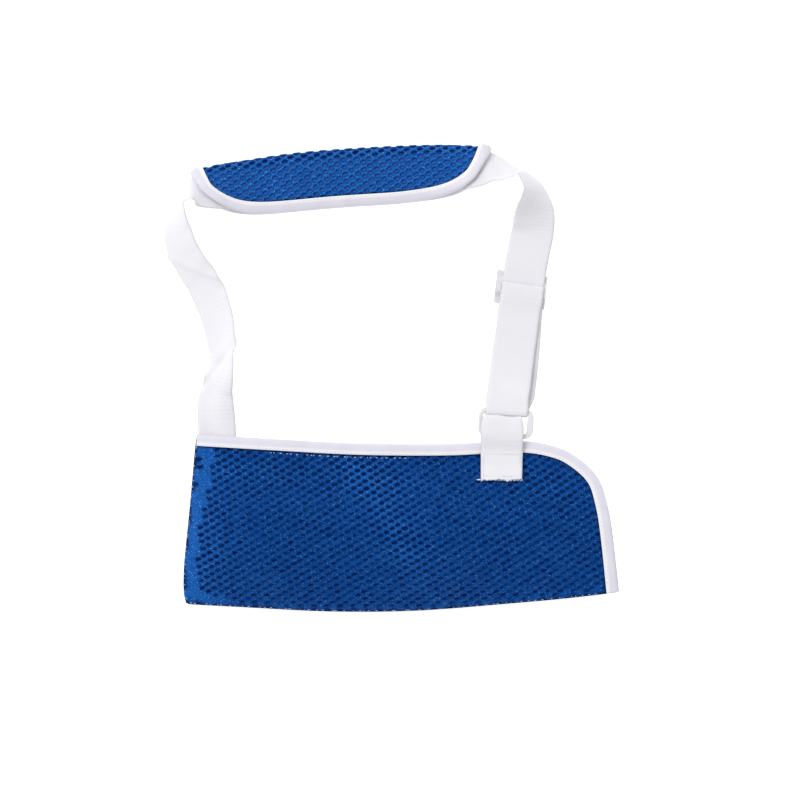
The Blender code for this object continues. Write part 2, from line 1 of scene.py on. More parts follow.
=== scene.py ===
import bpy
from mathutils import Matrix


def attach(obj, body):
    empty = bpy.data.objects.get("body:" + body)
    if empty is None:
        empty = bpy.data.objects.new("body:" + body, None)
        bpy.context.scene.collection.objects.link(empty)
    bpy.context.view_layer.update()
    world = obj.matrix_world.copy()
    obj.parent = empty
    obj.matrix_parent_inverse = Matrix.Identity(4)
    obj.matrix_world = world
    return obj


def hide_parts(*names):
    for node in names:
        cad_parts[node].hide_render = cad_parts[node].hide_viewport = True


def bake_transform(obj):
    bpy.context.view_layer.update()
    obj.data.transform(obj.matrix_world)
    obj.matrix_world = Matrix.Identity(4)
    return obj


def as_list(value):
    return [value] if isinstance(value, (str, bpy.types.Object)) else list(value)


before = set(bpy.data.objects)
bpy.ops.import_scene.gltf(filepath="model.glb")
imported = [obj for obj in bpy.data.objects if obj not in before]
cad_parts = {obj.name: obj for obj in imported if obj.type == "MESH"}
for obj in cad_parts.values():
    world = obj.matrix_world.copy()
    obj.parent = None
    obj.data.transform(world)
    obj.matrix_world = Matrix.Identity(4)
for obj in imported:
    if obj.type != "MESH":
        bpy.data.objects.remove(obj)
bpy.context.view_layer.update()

import math

import bmesh
import bpy
import numpy as np

# Fabric and webbing, in metres, as in the CAD
MESH_HALF = 0.0012
STRAP_WIDTH, STRAP_THICK = 0.038, 0.0013
TAPE_THICK = 0.0008
TAPE_HALF = 0.0022
GAP = 0.0003
BOUND_HALF = TAPE_HALF + TAPE_THICK / 2

# Pouch outline
FREE_EDGE = [
    (-0.1744, -0.0503),
    (-0.1100, -0.0540),
    (-0.0300, -0.0582),
    (0.0500, -0.0588),
    (0.1120, -0.0560),
    (0.1480, -0.0615),
    (0.1700, -0.0735),
    (0.1850, -0.0885),
    (0.1925, -0.1080),
    (0.1980, -0.1350),
    (0.2045, -0.1915),
]
BOTTOM_SEAM = [
    (-0.1843, -0.2025),
    (-0.1276, -0.2052),
    (-0.0556, -0.2087),
    (0.0200, -0.2081),
    (0.1000, -0.2022),
    (0.1600, -0.1968),
    (0.2045, -0.1915),
]
ELBOW_SEAM = [
    (-0.1843, -0.2025),
    (-0.1866, -0.1900),
    (-0.1858, -0.1640),
    (-0.1812, -0.1183),
    (-0.1765, -0.0650),
    (-0.1744, -0.0503),
]
SEAM_HEIGHT, CROWN, WRIST_CROWN, MOUTH_RISE, WRIST_STEP = 0.0070, 0.0310, 0.0200, 0.0090, 0.0020
# Where the mesh is pressed flat over the seam allowance: how far below zero, and the band's side there
PRESSED_RIGHT = ([0.0690, 0.1000, 0.1364, 0.1724, 0.1900], [-0.1590, -0.1645, -0.1717, -0.1735, -0.1710])
PRESSED_LEFT = ([0.0690, 0.1000, 0.1060], [-0.1690, -0.1760, -0.3000])

# Wrist-side run, ring, slider and tab
RUN_ANGLE, RING_ANGLE = math.radians(8.45), math.radians(3)
RUN_START = (0.1034, -0.0288)  # the middle of the run over the ring's upper bar
RUN_BOW, BOW_AT, BOW_REACH = 0.0022, 0.122, 0.035  # how the run bows to the elbow side at the slider
SQUARE_RUN, SQUARE_TAB = 0.050, -0.020  # how far from the ring the webbing is turned square to it
RING_CENTRE = (0.1019, -0.0400)
RING_WIDTH, RING_DEPTH, RING_THICK = 0.0494, 0.0272, 0.0025
RING_OPEN_WIDTH, RING_OPEN_DEPTH = 0.0412, 0.0182
RING_AXIS_HEIGHT = 0.0230  # the ring's lower bar
RING_SLOPE = math.radians(10)
RING_EAR = 0.0015  # how much broader the ring is where it shows beside the tab
RAIL_EXTRA = 0.0020  # how much broader the slider's rail is on the elbow side
SLIDER_AT = 0.1094  # along the run from the ring's upper bar
SLIDER_WIDTH, SLIDER_LENGTH, BAR_THICK = 0.0450, 0.0300, 0.0022
SLIDER_OPEN_WIDTH, SLIDER_SHIFT = 0.0394, -0.0004
# The tab lies a little to the elbow side of the CAD's, and straighter
TAB_ANGLE, TAB_WIDTH, TAB_SHIFT = math.radians(0.9), 0.0380, -0.0029
RUN_HEIGHT = BAR_THICK + GAP + STRAP_THICK / 2
RUN_STARTS_AT = 0.1588

ELBOW_RUN = [  # x, y and tilt in degrees, inner edge raised
    (-0.1560, -0.0380, 6),
    (-0.1568, -0.0256, 16),
    (-0.1562, -0.0140, 27),
    (-0.1535, -0.0010, 42),
    (-0.1513, 0.0117, 54),
    (-0.1512, 0.0210, 54),
    (-0.1517, 0.0312, 47),
    (-0.1534, 0.0439, 43),
    (-0.1559, 0.0549, 40),
    (-0.1597, 0.0664, 36),
    (-0.1643, 0.0772, 35),
    (-0.1702, 0.0887, 36),
    (-0.1770, 0.0984, 38),
    (-0.1856, 0.1130, 41),
    (-0.1908, 0.1300, 46),
    (-0.1915, 0.1427, 58),
    (-0.1900, 0.1510, 69),
    (-0.1866, 0.1590, 78),
]
PAD_RUN = [
    (-0.1790, 0.1672, 50),
    (-0.1620, 0.1690, 29),
    (-0.1340, 0.1718, 7),
    (-0.0890, 0.1785, 0),
    (-0.0450, 0.1824, 0),
    (0.0070, 0.1853, 0),
    (0.0430, 0.1863, 7),
    (0.0660, 0.1867, 20),
    (0.0840, 0.1884, 36),
]
WRIST_BEND = [
    (0.0960, 0.1883, 54),
    (0.1075, 0.1866, 74),
    (0.1195, 0.1803, 76),
    (0.1262, 0.1715, 64),
    (0.1283, 0.1625, 47),
    (0.1285, 0.1520, 26),
    (0.1275, 0.1400, 8),
]
WRIST_LIFT = 0.0044

# Shoulder pad, in the pad run's own plane
PAD_FREE_EDGE = [
    (-0.001, 0.0235),
    (0.0050, 0.0060),
    (0.0120, -0.0080),
    (0.0280, -0.0190),
    (0.0500, -0.0258),
    (0.0830, -0.0290),
    (0.1355, -0.0292),
    (0.1880, -0.0285),
    (0.2280, -0.0240),
    (0.2500, -0.0145),
    (0.2610, -0.0020),
    (0.2680, 0.0120),
    (0.2710, 0.0235),
]
PAD_FOLD, PAD_HALF = 0.0172, 0.0052
PAD_TAPE_HALF = TAPE_HALF + 0.0004
PAD_BOUND_HALF = PAD_TAPE_HALF + TAPE_THICK / 2
PAD_HALF_SEWN = PAD_BOUND_HALF + GAP / 2

# Holes of the air mesh: a staggered lattice
CELL_X, CELL_Y = 0.0114, 0.00635
HOLE_X, HOLE_Y, HOLE_TILT = 0.00262, 0.00128, 0.26


# Curves and numbers


def smooth(points, steps=12):
    p = np.array(points, float)
    p = np.vstack([2 * p[0] - p[1], p, 2 * p[-1] - p[-2]])
    out = []
    for a, b, c, d in zip(p, p[1:], p[2:], p[3:]):
        square, cube = 2 * a - 5 * b + 4 * c - d, 3 * b - 3 * c + d - a
        for t in np.arange(steps) / steps:
            out.append(0.5 * (2 * b + (c - a) * t + square * t**2 + cube * t**3))
    return np.array(out + [p[-2]])


def lengths(points, axes=2):
    steps = np.linalg.norm(np.diff(points[:, :axes], axis=0), axis=1)
    return np.concatenate([[0], np.cumsum(steps)])


def at(points, where, axes=2):
    along = lengths(points, axes)
    return np.stack([np.interp(where, along, points[:, k]) for k in range(points.shape[1])], axis=-1)


def spread(points, shares):
    return at(points, np.asarray(shares) * lengths(points)[-1])


def ease(x):
    x = np.clip(x, 0, 1)
    return x * x * (3 - 2 * x)


def nearest(p, line):
    """The nearest point of a polyline to each point of p, and how far it is."""
    spots, gaps = [], []
    a, b = line[:-1], line[1:]
    ab = b - a
    for part in np.array_split(p, max(1, len(p) // 4000)):
        share = np.einsum("nmk,mk->nm", part[:, None] - a, ab) / np.maximum((ab**2).sum(axis=1), 1e-12)
        near = a + np.clip(share, 0, 1)[..., None] * ab
        gap = np.linalg.norm(part[:, None] - near, axis=2)
        pick = gap.argmin(axis=1)
        rows = np.arange(len(part))
        spots.append(near[rows, pick])
        gaps.append(gap[rows, pick])
    return np.concatenate(spots), np.concatenate(gaps)


def distance(p, line):
    return nearest(p, line)[1]


def inside(p, loop):
    """Which points of p lie inside a closed polygon."""
    a, b = loop, np.roll(loop, -1, axis=0)
    x, y = p[:, :1], p[:, 1:]
    rising = (a[:, 1] > y) != (b[:, 1] > y)
    step = np.where(np.abs(b[:, 1] - a[:, 1]) < 1e-12, 1e-12, b[:, 1] - a[:, 1])
    crossing = x < (b[:, 0] - a[:, 0]) * (y - a[:, 1]) / step + a[:, 0]
    return (rising & crossing).sum(axis=1) % 2 == 1


def inward(line, amount):
    along = np.gradient(line, axis=0)
    along /= np.linalg.norm(along, axis=1)[:, None]
    return line + np.stack([along[:, 1], -along[:, 0]], axis=1) * np.reshape(amount, (-1, 1))


def unit(v):
    return v / np.maximum(np.linalg.norm(v, axis=-1, keepdims=True), 1e-12)


def ripple(x, seed):
    """A smooth, repeatable wobble between about -1 and 1 along x, in metres."""
    rng = np.random.default_rng(seed)
    total = np.zeros_like(x)
    for wave in (0.021, 0.034, 0.057, 0.090):
        total += np.sin(2 * np.pi * (x / wave + rng.random())) * rng.uniform(0.3, 0.5)
    return total


# Meshes and materials


def build(name, points, faces, material, uv=None, **values):
    mesh = bpy.data.meshes.new(name)
    mesh.from_pydata([tuple(p) for p in points], [], [tuple(int(i) for i in f) for f in faces])
    mesh.validate()
    mesh.shade_smooth()
    mesh.materials.append(material)
    if uv is not None:
        layer = mesh.uv_layers.new(name="weave")
        corner = np.zeros(len(mesh.loops), np.int32)
        mesh.loops.foreach_get("vertex_index", corner)
        layer.data.foreach_set("uv", np.asarray(uv, np.float32)[corner].ravel())
    for attribute, value in values.items():
        layer = mesh.attributes.new(attribute, "FLOAT", "POINT")
        layer.data.foreach_set("value", np.asarray(value, np.float32))
    obj = bpy.data.objects.new(name, mesh)
    bpy.context.scene.collection.objects.link(obj)
    return obj


class Finish:
    """A Principled material and short ways to add nodes to it."""

    def __init__(self, name, colour, roughness, sheen=0.0, specular=0.5):
        self.material = bpy.data.materials.new(name)
        self.material.use_nodes = True
        self.tree = self.material.node_tree
        self.shader = self.tree.nodes["Principled BSDF"]
        self.shader.inputs["Base Color"].default_value = (*colour, 1)
        self.shader.inputs["Roughness"].default_value = roughness
        self.shader.inputs["Specular IOR Level"].default_value = specular
        tone = max(colour)
        self.shader.inputs["Specular Tint"].default_value = (*(c / tone for c in colour), 1)
        self.shader.inputs["Sheen Weight"].default_value = sheen
        self.shader.inputs["Sheen Roughness"].default_value = 0.5

    def node(self, kind, **values):
        made = self.tree.nodes.new("ShaderNode" + kind)
        for key, value in values.items():
            if hasattr(made, key):
                setattr(made, key, value)
            else:
                made.inputs[key.replace("_", " ")].default_value = value
        return made

    def link(self, source, target):
        self.tree.links.new(source, target)

    def math(self, operation, a, b=None):
        made = self.tree.nodes.new("ShaderNodeMath")
        made.operation = operation
        for socket, value in zip(made.inputs, (a, b)):
            if value is None:
                continue
            if isinstance(value, (int, float)):
                socket.default_value = value
            else:
                self.link(value, socket)
        return made.outputs[0]

    def noise(self, scale, detail=3.0, streak=None):
        """Noise in the object's own space; streak is (degrees, times) when it is drawn out in plan."""
        where = self.node("TexCoord").outputs["Object"]
        if streak is not None:
            drawn = self.node("Mapping", vector_type="TEXTURE")
            drawn.inputs["Rotation"].default_value = (0, 0, math.radians(streak[0]))
            drawn.inputs["Scale"].default_value = (streak[1], 1, 1)
            self.link(where, drawn.inputs["Vector"])
            where = drawn.outputs["Vector"]
        made = self.node("TexNoise", Scale=scale, Detail=detail)
        self.link(where, made.inputs["Vector"])
        return made.outputs["Fac"]

    def uv(self):
        split = self.node("SeparateXYZ")
        self.link(self.node("UVMap", uv_map="weave").outputs[0], split.inputs[0])
        return split.outputs[0], split.outputs[1]

    def ramp(self, factor, low, high):
        """Base colour between two colours."""
        self.link(self.join(factor, low, high), self.shader.inputs["Base Color"])

    def join(self, factor, low, high):
        """A colour between two, each given as numbers or as another node's output."""
        made = self.node("Mix", data_type="RGBA")
        for socket, colour in ((made.inputs[6], low), (made.inputs[7], high)):
            if isinstance(colour, tuple):
                socket.default_value = (*colour, 1)
            else:
                self.link(colour, socket)
        self.link(factor, made.inputs[0])
        return made.outputs[2]

    def bump(self, height, distance, strength=1.0):
        made = self.node("Bump", Strength=strength, Distance=distance)
        self.link(height, made.inputs["Height"])
        self.link(made.outputs[0], self.shader.inputs["Normal"])

    def roughen(self, factor, low, high):
        spread_out = self.node("MapRange", To_Min=low, To_Max=high)
        self.link(factor, spread_out.inputs["Value"])
        self.link(spread_out.outputs[0], self.shader.inputs["Roughness"])


def air_mesh_finish():
    """Knitted blue yarn, with light and shade painted in through the attribute shade: 1 on the brightest lit
    crests, about 0.6 on dull ones and 0 for the painted shade in the net under the holes; the net over the
    white strap is paler, which the attribute under says. glint paints small highlights on the crests."""
    f = Finish("air_mesh_blue", (0.012, 0.120, 0.450), 0.75, specular=0.25)
    shade = f.node("Attribute", attribute_name="shade").outputs["Fac"]
    under = f.node("Attribute", attribute_name="under").outputs["Fac"]
    yarn = f.math("MULTIPLY", f.noise(620.0, 2.0, streak=(38, 3.0)), 0.62)
    grain = f.math("MULTIPLY", f.noise(1000.0, 2.0), 0.62)
    cloudy = f.math("MULTIPLY", f.noise(60.0), 0.14)
    spread_out = f.math("SUBTRACT", f.math("ADD", f.math("ADD", yarn, grain), cloudy), 0.69)
    level = f.math("ADD", shade, spread_out)
    net = f.join(under, (0.0004, 0.0060, 0.055), (0.0330, 0.110, 0.400))
    crest = f.join(f.math("SUBTRACT", level, 0.55), (0.0028, 0.0400, 0.196), (0.0190, 0.175, 0.620))
    yarns = f.node("MapRange", From_Min=0.0, From_Max=0.5)
    f.link(level, yarns.inputs["Value"])
    knit = f.join(yarns.outputs[0], net, crest)
    glint = f.node("MapRange", From_Min=0.635, From_Max=0.70, To_Max=0.75)
    f.link(f.noise(900.0, 1.0), glint.inputs["Value"])
    bright = f.math("MULTIPLY", glint.outputs[0], shade)
    f.link(f.join(bright, knit, (0.12, 0.36, 0.86)), f.shader.inputs["Base Color"])
    f.bump(f.math("ADD", f.noise(1700.0, 2.0), f.noise(900.0, 1.0, streak=(38, 3.0))), 0.00035)
    f.roughen(f.noise(700.0), 0.65, 0.90)
    return f.material


def webbing_finish():
    f = Finish("white_webbing", (0.80, 0.79, 0.83), 0.85, sheen=0.05, specular=0.15)
    u, v = f.uv()
    pick = f.math("SINE", f.math("MULTIPLY", u, 2 * math.pi / 0.0010))
    rib = f.math("SINE", f.math("MULTIPLY", u, 2 * math.pi / 0.0038))
    column = f.math("ABSOLUTE", f.math("SINE", f.math("MULTIPLY", v, math.pi / 0.0019)))
    thread = f.math("ADD", f.math("MULTIPLY", pick, 0.35), f.math("MULTIPLY", column, 0.5))
    patch = f.node("MapRange", From_Min=0.45, From_Max=0.62, To_Max=0.55)
    f.link(f.noise(38.0, 1.0), patch.inputs["Value"])
    ribbed = f.math("ADD", thread, f.math("MULTIPLY", rib, patch.outputs[0]))
    height = f.math("ADD", ribbed, f.math("MULTIPLY", f.noise(1600.0, 2.0), 0.4))
    tone = f.math("ADD", f.math("MULTIPLY", ribbed, 0.16), f.math("MULTIPLY", f.noise(60.0), 0.5))
    f.ramp(f.math("ADD", tone, 0.25), (0.712, 0.702, 0.742), (0.772, 0.762, 0.800))
    f.bump(height, 0.00010)
    f.roughen(f.noise(400.0), 0.75, 0.95)
    return f.material


def tape_finish():
    """Smooth tape, with a painted highlight: lighter along the inner edge of its upper leg, beside the mesh.
    """
    f = Finish("binding_tape_white", (0.76, 0.745, 0.81), 0.7, sheen=0.05, specular=0.2)
    u, v = f.uv()
    rib = f.math("SINE", f.math("MULTIPLY", v, 2 * math.pi / 0.00085))
    knit = f.math("SINE", f.math("MULTIPLY", u, 2 * math.pi / 0.0011))
    height = f.math("ADD", f.math("MULTIPLY", rib, 0.4), f.math("MULTIPLY", knit, 0.3))
    f.bump(f.math("ADD", height, f.math("MULTIPLY", f.noise(1400.0, 2.0), 0.5)), 0.00008)
    # Painted highlight along the upper leg's inner edge, beside the mesh.
    leg = f.node("MapRange", From_Min=0.0012, From_Max=0.0042, To_Min=1.0, To_Max=0.0)
    f.link(f.math("ABSOLUTE", v), leg.inputs["Value"])
    tone = f.math("ADD", f.math("MULTIPLY", f.noise(70.0), 0.5), leg.outputs[0])
    f.ramp(tone, (0.625, 0.610, 0.690), (0.815, 0.805, 0.845))
    f.roughen(f.noise(500.0), 0.6, 0.8)
    return f.material


def thread_finish(name, low, high):
    f = Finish(name, high, 0.6, specular=0.2)
    f.ramp(f.noise(300.0), low, high)
    f.bump(f.noise(2500.0, 2.0), 0.0001)
    return f.material


def plastic_finish():
    f = Finish("white_plastic", (0.64, 0.64, 0.66), 0.4, specular=0.3)
    f.ramp(f.noise(40.0), (0.64, 0.64, 0.665), (0.70, 0.70, 0.725))
    f.bump(f.noise(900.0, 2.0), 0.00006)
    f.roughen(f.noise(200.0), 0.28, 0.45)
    return f.material


AIR_MESH = air_mesh_finish()
WEBBING = webbing_finish()
TAPE = tape_finish()
THREAD = thread_finish("white_thread", (0.62, 0.61, 0.66), (0.76, 0.75, 0.79))
PALE_THREAD = thread_finish("pale_seam_thread", (0.26, 0.34, 0.56), (0.58, 0.64, 0.80))
# Navy thread for rows of stitches that paint a dark shadow line beside the tapes and along the seams.
NAVY_SHADOW_LINE_THREAD = thread_finish("navy_thread_painted_shadow_line", (0.0006, 0.0050, 0.034), (0.0020, 0.0150, 0.085))
PLASTIC = plastic_finish()


# Air mesh


def air_mesh(name, loop, solid_near, place, lean, clear, out=1, under=None):
    """Air mesh over the inside of a closed outline: a staggered lattice of pits in its outer face, down to
    the fine net that is its inner face.

    solid_near(p) says which cells have no pit, place(p, h) gives a point of the cloth h off its middle,
    lean(p) moves a lattice point sideways, clear(p) is 1 where light is painted on: there the crests are
    painted brighter and the pits darker, out is the side of the outer face, and under(p) says where white
    webbing shows through the net. The attribute shade carries the painted light and shade: the crests'
    brightness, lips and pit floors darkened as shade in the hollows, a dark cut edge and a darker inner face.
    """
    rng = np.random.default_rng(len(name))
    dx, dy = CELL_X / 2, CELL_Y / 2
    corner, side = (dx * dx - dy * dy) / (2 * dx), (dx * dx + dy * dy) / (2 * dx)
    ring = [(side, 0), ((side + corner) / 2, dy / 2), (corner, dy), (0, dy)]
    ring += [(-corner, dy), (-(side + corner) / 2, dy / 2), (-side, 0), (-(side + corner) / 2, -dy / 2)]
    ring += [(-corner, -dy), (0, -dy), (corner, -dy), ((side + corner) / 2, -dy / 2)]
    ring = np.array(ring)
    angle = np.radians(np.arange(0, 360, 30))
    hole_x = HOLE_X * np.cos(angle)
    hole = np.column_stack([hole_x, HOLE_Y * np.sin(angle) + HOLE_TILT * HOLE_X * np.cos(angle)])

    low, high = loop.min(axis=0) - (0.072, 0.012), loop.max(axis=0) + (0.072, 0.012)
    rows = np.arange(math.floor(low[1] / dy), math.ceil(high[1] / dy) + 1)
    columns = np.arange(math.floor(low[0] / CELL_X), math.ceil(high[0] / CELL_X) + 1)
    centres = np.array([((c + (r % 2) / 2) * CELL_X, r * dy) for r in rows for c in columns])
    kept = inside(lean(centres), loop)
    centres = centres[kept]
    flat_centres = lean(centres)
    outline = np.vstack([loop, loop[:1]])
    closed = (distance(flat_centres, outline) < 0.0036) | solid_near(flat_centres)

    spots = (centres[:, None] + ring).reshape(-1, 2)
    key = np.round(spots * 5e4 + 0.37).astype(np.int64)
    _, first, index = np.unique(key, axis=0, return_index=True, return_inverse=True)
    index = index.reshape(-1, 12)
    pits, bumps = centres[~closed], flat_centres[closed]
    crest = lean(spots[first])
    size = 1 + 0.09 * np.clip(rng.standard_normal((len(pits), 1, 1)), -2, 1.3)
    stray = pits[:, None] + 0.00016 * np.clip(rng.standard_normal((len(pits), 1, 2)), -2, 2)
    lip = lean((stray + hole * size).reshape(-1, 2))
    floor_ring = lean((stray + hole * size * 0.88).reshape(-1, 2))
    # Painted shade on each pit's floor: darker where clear is high, spread at random.
    dim = (0.34 - 0.30 * clear(lean(pits))) * rng.uniform(0.3, 1.4, len(pits))
    dim = np.repeat(np.clip(dim, 0, 0.5), 12)

    edges = {(a, b) for cell in index for a, b in zip(cell, np.roll(cell, -1))}
    rim = [(a, b) for a, b in edges if (b, a) not in edges]
    on_rim = np.unique(np.array(rim).ravel())
    snapped = np.union1d(on_rim, np.where(~inside(crest, loop))[0])
    crest[snapped] = nearest(crest[snapped], outline)[0]

    heights = np.full(len(crest), MESH_HALF)
    heights[on_rim] *= 0.6
    # Painted light and shade: crests brighter where clear is high, the cut edge painted dark; below, lips and
    # pit floors painted darker as shade in the hollows, and the inner face painted darker.
    shades = 0.62 + 0.38 * clear(crest)
    shades[on_rim] = 0.10
    flats = [crest, lip, floor_ring, bumps, crest]
    levels = [heights, np.full(len(lip), 0.28 * MESH_HALF), np.full(len(lip), -0.45 * MESH_HALF)]
    levels += [np.full(len(bumps), MESH_HALF), -heights]
    tones = [shades, 0.46 + 0.3 * dim, dim, 0.62 + 0.30 * clear(bumps), shades * 0.7]
    starts = np.cumsum([0] + [len(part) for part in flats])
    flat, level, tone = np.vstack(flats), np.concatenate(levels), np.concatenate(tones)
    faces = []
    back = starts[4]
    for number, cell in enumerate(index[~closed]):
        upper = starts[1] + 12 * number + np.arange(12)
        lower = starts[2] + 12 * number + np.arange(12)
        for k in range(12):
            n = (k + 1) % 12
            faces.append((cell[k], cell[n], upper[n], upper[k]))
            faces.append((upper[k], upper[n], lower[n], lower[k]))
        faces.append(tuple(lower))
    for number, cell in enumerate(index[closed]):
        middle = starts[3] + number
        faces += [(a, b, middle) for a, b in zip(cell, np.roll(cell, -1))]
    faces += [tuple(cell[::-1] + back) for cell in index]
    faces += [(b, a, a + back, b + back) for a, b in rim]
    if out < 0:
        faces = [face[::-1] for face in faces]
    covered = np.zeros(len(flat)) if under is None else under(flat)
    return build(name, place(flat, level * out), faces, AIR_MESH, shade=tone, under=covered)


def free_edge(front):
    line = spread(smooth(FREE_EDGE), np.linspace(0, 1, 161))
    share = lengths(line) / lengths(line)[-1]
    return inward(line, WRIST_STEP * ease((share - 0.7) / 0.2)) if front else line


BACK_EDGE, FRONT_EDGE = free_edge(False), free_edge(True)
BOTTOM, ELBOW = smooth(BOTTOM_SEAM), smooth(ELBOW_SEAM)


def panel_height(p, front, creased=False):
    bottom, elbow, free = distance(p, BOTTOM), distance(p, ELBOW), distance(p, BACK_EDGE)
    corner = (1 - ease(free / 0.040)) * (1 - ease(np.minimum(bottom, elbow) / 0.045))
    apart = MESH_HALF + GAP / 2 + (BOUND_HALF + GAP - MESH_HALF + STRAP_THICK / 2) * corner
    if front:
        rise = (1 - (1 - np.clip(bottom / 0.075, 0, 1)) ** 2) * (1 - (1 - np.clip(elbow / 0.085, 0, 1)) ** 2)
        crown = CROWN + (WRIST_CROWN - CROWN) * ease((p[:, 0] - 0.010) / 0.150)
        bulge = MOUTH_RISE + (crown - MOUTH_RISE) * ease((free - 0.012) / 0.062)
        height = SEAM_HEIGHT + apart + rise * bulge
        return height + (creases(p, np.minimum(bottom, elbow), free) if creased else 0)
    lying = MESH_HALF + (BOUND_HALF - MESH_HALF) * (1 - ease((free - 0.010) / 0.020))
    fall = (1 - (1 - np.clip(bottom / 0.045, 0, 1)) ** 2) * (1 - (1 - np.clip(elbow / 0.045, 0, 1)) ** 2)
    return lying + (SEAM_HEIGHT - apart - lying) * (1 - fall)


FOLDS = [  # from, to, how wide and how high: soft folds of the front panel, down from the mouth
    ((-0.075, -0.060), (-0.030, -0.190), 0.028, -0.0052),
    ((0.018, -0.060), (0.062, -0.185), 0.025, 0.0048),
    ((-0.128, -0.080), (-0.105, -0.200), 0.022, 0.0020),
    ((0.095, -0.105), (0.120, -0.190), 0.024, -0.0014),
    ((-0.020, -0.120), (0.030, -0.175), 0.010, 0.0012),
    ((-0.045, -0.075), (-0.010, -0.120), 0.009, 0.0010),
]


def creases(p, seam, free):
    total = np.zeros(len(p))
    for a, b, width, high in FOLDS:
        a, b = np.array(a), np.array(b)
        total += high * np.exp(-((distance(p, np.array([a, (a + b) / 2, b])) / width) ** 2))
    return total * ease((seam - 0.004) / 0.030) * ease((free - 0.012) / 0.020)


def on_panel(front):
    """place(p, h) for a panel: h off the cloth's middle along its own normal."""
    step = 0.0006

    def place(p, h):
        z = panel_height(p, front, True)
        slopes = [
            (panel_height(p + way, front, True) - panel_height(p - way, front, True)) / (2 * step)
            for way in np.array([(step, 0), (0, step)])
        ]
        up = unit(np.column_stack([-slopes[0], -slopes[1], np.ones(len(p))]))
        return np.column_stack([p, z]) + up * np.reshape(h, (-1, 1))

    return place


def pouch_lean(p):
    """Columns of holes lean more towards the wrist."""
    degrees = 7 + 7 * ease((p[:, 0] + 0.15) / 0.32)
    return np.column_stack([p[:, 0] - (p[:, 1] + 0.13) * np.tan(np.radians(degrees)), p[:, 1]])


def near(p, a, b, width):
    """1 on the way from a to b, falling to 0 over about this width."""
    return np.exp(-((distance(p, np.array([a, b])) / width) ** 2))


def front_painted_light(p):
    """Painted light and shade on the front panel: brighter crests and darker pits at the elbow, on one
    slanting fold, just below the mouth and under the wrist corner, standing in for slopes that face the key
    light and shade under the corner; partly also a more open knit there.
    """
    total = 0.70 * near(p, (-0.172, -0.075), (-0.178, -0.190), 0.026)
    total += 0.62 * near(p, (-0.034, -0.070), (0.020, -0.160), 0.021)
    total += 0.30 * near(p, (-0.140, -0.080), (0.010, -0.092), 0.015)
    total += 0.35 * near(p, (0.105, -0.080), (0.150, -0.100), 0.018)
    return np.clip(total + 0.07 * ripple(p[:, 0] + 0.6 * p[:, 1], 31), 0, 1)


def back_clear(p):
    return 0.35 + 0.12 * ripple(p[:, 0] + 0.8 * p[:, 1], 37)


def panel(name, front):
    edge = inward(FRONT_EDGE if front else BACK_EDGE, 0.0020)
    loop = np.vstack([BOTTOM, edge[::-1], ELBOW[::-1][1:-1]])

    def solid_near(p):
        under_tape = distance(p, edge) < 0.0058
        right = np.interp(-p[:, 1], *PRESSED_RIGHT)
        left = np.interp(-p[:, 1], *PRESSED_LEFT)
        pressed = (p[:, 0] < right) & (p[:, 0] > left)
        return under_tape | (front & (pressed | (near(p, (-0.184, -0.199), (-0.150, -0.202), 0.009) > 0.5)))

    clear = front_painted_light if front else back_clear
    return air_mesh(name, loop, solid_near, on_panel(front), pouch_lean, clear, out=1 if front else -1)


# Binding tape


def tape_round(name, line, height, half, ripple_seed):
    """Tape folded round an edge: line is the edge's outside, height(p, k) lifts a point of the tape."""
    section = [(0.0101, 0.98), (0.0090, 1.03), (0.0066, 1.08), (0.0042, 1.05), (0.0024, 0.97), (0.0012, 0.76)]
    section += [(0.0006, 0.42), (0.0004, 0.0)]
    section += [(s, -h) for s, h in section[:-1][::-1]]
    section = np.array(section)
    total = lengths(line)[-1]
    count = int(total / 0.0022)
    share = np.linspace(0, 1, count + 1)
    spot = spread(line, share)
    along = unit(spread(line, np.minimum(share + 0.004, 1)) - spread(line, np.maximum(share - 0.004, 0)))
    right = np.stack([along[:, 1], -along[:, 0]], axis=1)
    wobble = 1 + 0.035 * ripple(share * total, ripple_seed)
    pucker = 1 + 0.03 * np.sin(2 * np.pi * share * total / 0.0068)
    n = len(section)
    across = np.concatenate([[0], np.cumsum(np.linalg.norm(np.diff(section * (1, half), axis=0), axis=1))])
    outer, inner, uv = [], [], []
    section_along = np.gradient(section * (1, half), axis=0)
    normal = unit(np.column_stack([-section_along[:, 1], section_along[:, 0]]))
    for sign, rows in ((0.5, outer), (-0.5, inner)):
        for k in range(count + 1):
            s = section[:, 0] - normal[:, 0] * sign * TAPE_THICK
            rise = section[:, 1] * half * wobble[k]
            rise = rise * np.where(section[:, 0] > 0.006, 1, pucker[k]) - normal[:, 1] * sign * TAPE_THICK
            flat = spot[k] + right[k] * s[:, None]
            rows.append(height(flat, rise))
    outer, inner = np.array(outer), np.array(inner)
    uv = np.array([[(share[k] * total, a) for a in across] for k in range(count + 1)])
    points = np.vstack([outer.reshape(-1, 3), inner.reshape(-1, 3)])
    uv = np.vstack([uv.reshape(-1, 2)] * 2)
    size = (count + 1) * n
    faces = []
    for k in range(count):
        for j in range(n - 1):
            a, b, c, d = k * n + j, k * n + j + 1, (k + 1) * n + j + 1, (k + 1) * n + j
            faces.append((a, b, c, d))
            faces.append((d + size, c + size, b + size, a + size))
        for j, flip in ((0, True), (n - 1, False)):
            a, b = k * n + j, (k + 1) * n + j
            faces.append((a, b, b + size, a + size) if flip else (b, a, a + size, b + size))
    for k, flip in ((0, False), (count, True)):
        for j in range(n - 1):
            a, b = k * n + j, k * n + j + 1
            faces.append((a, b, b + size, a + size)[:: -1 if flip else 1])
    obj = build(name, points, faces, TAPE, uv=uv)
    return outward(obj)


def outward(obj):
    """Faces turned to face out of a closed mesh."""
    bm = bmesh.new()
    bm.from_mesh(obj.data)
    bmesh.ops.recalc_face_normals(bm, faces=bm.faces)
    bm.to_mesh(obj.data)
    bm.free()
    return obj


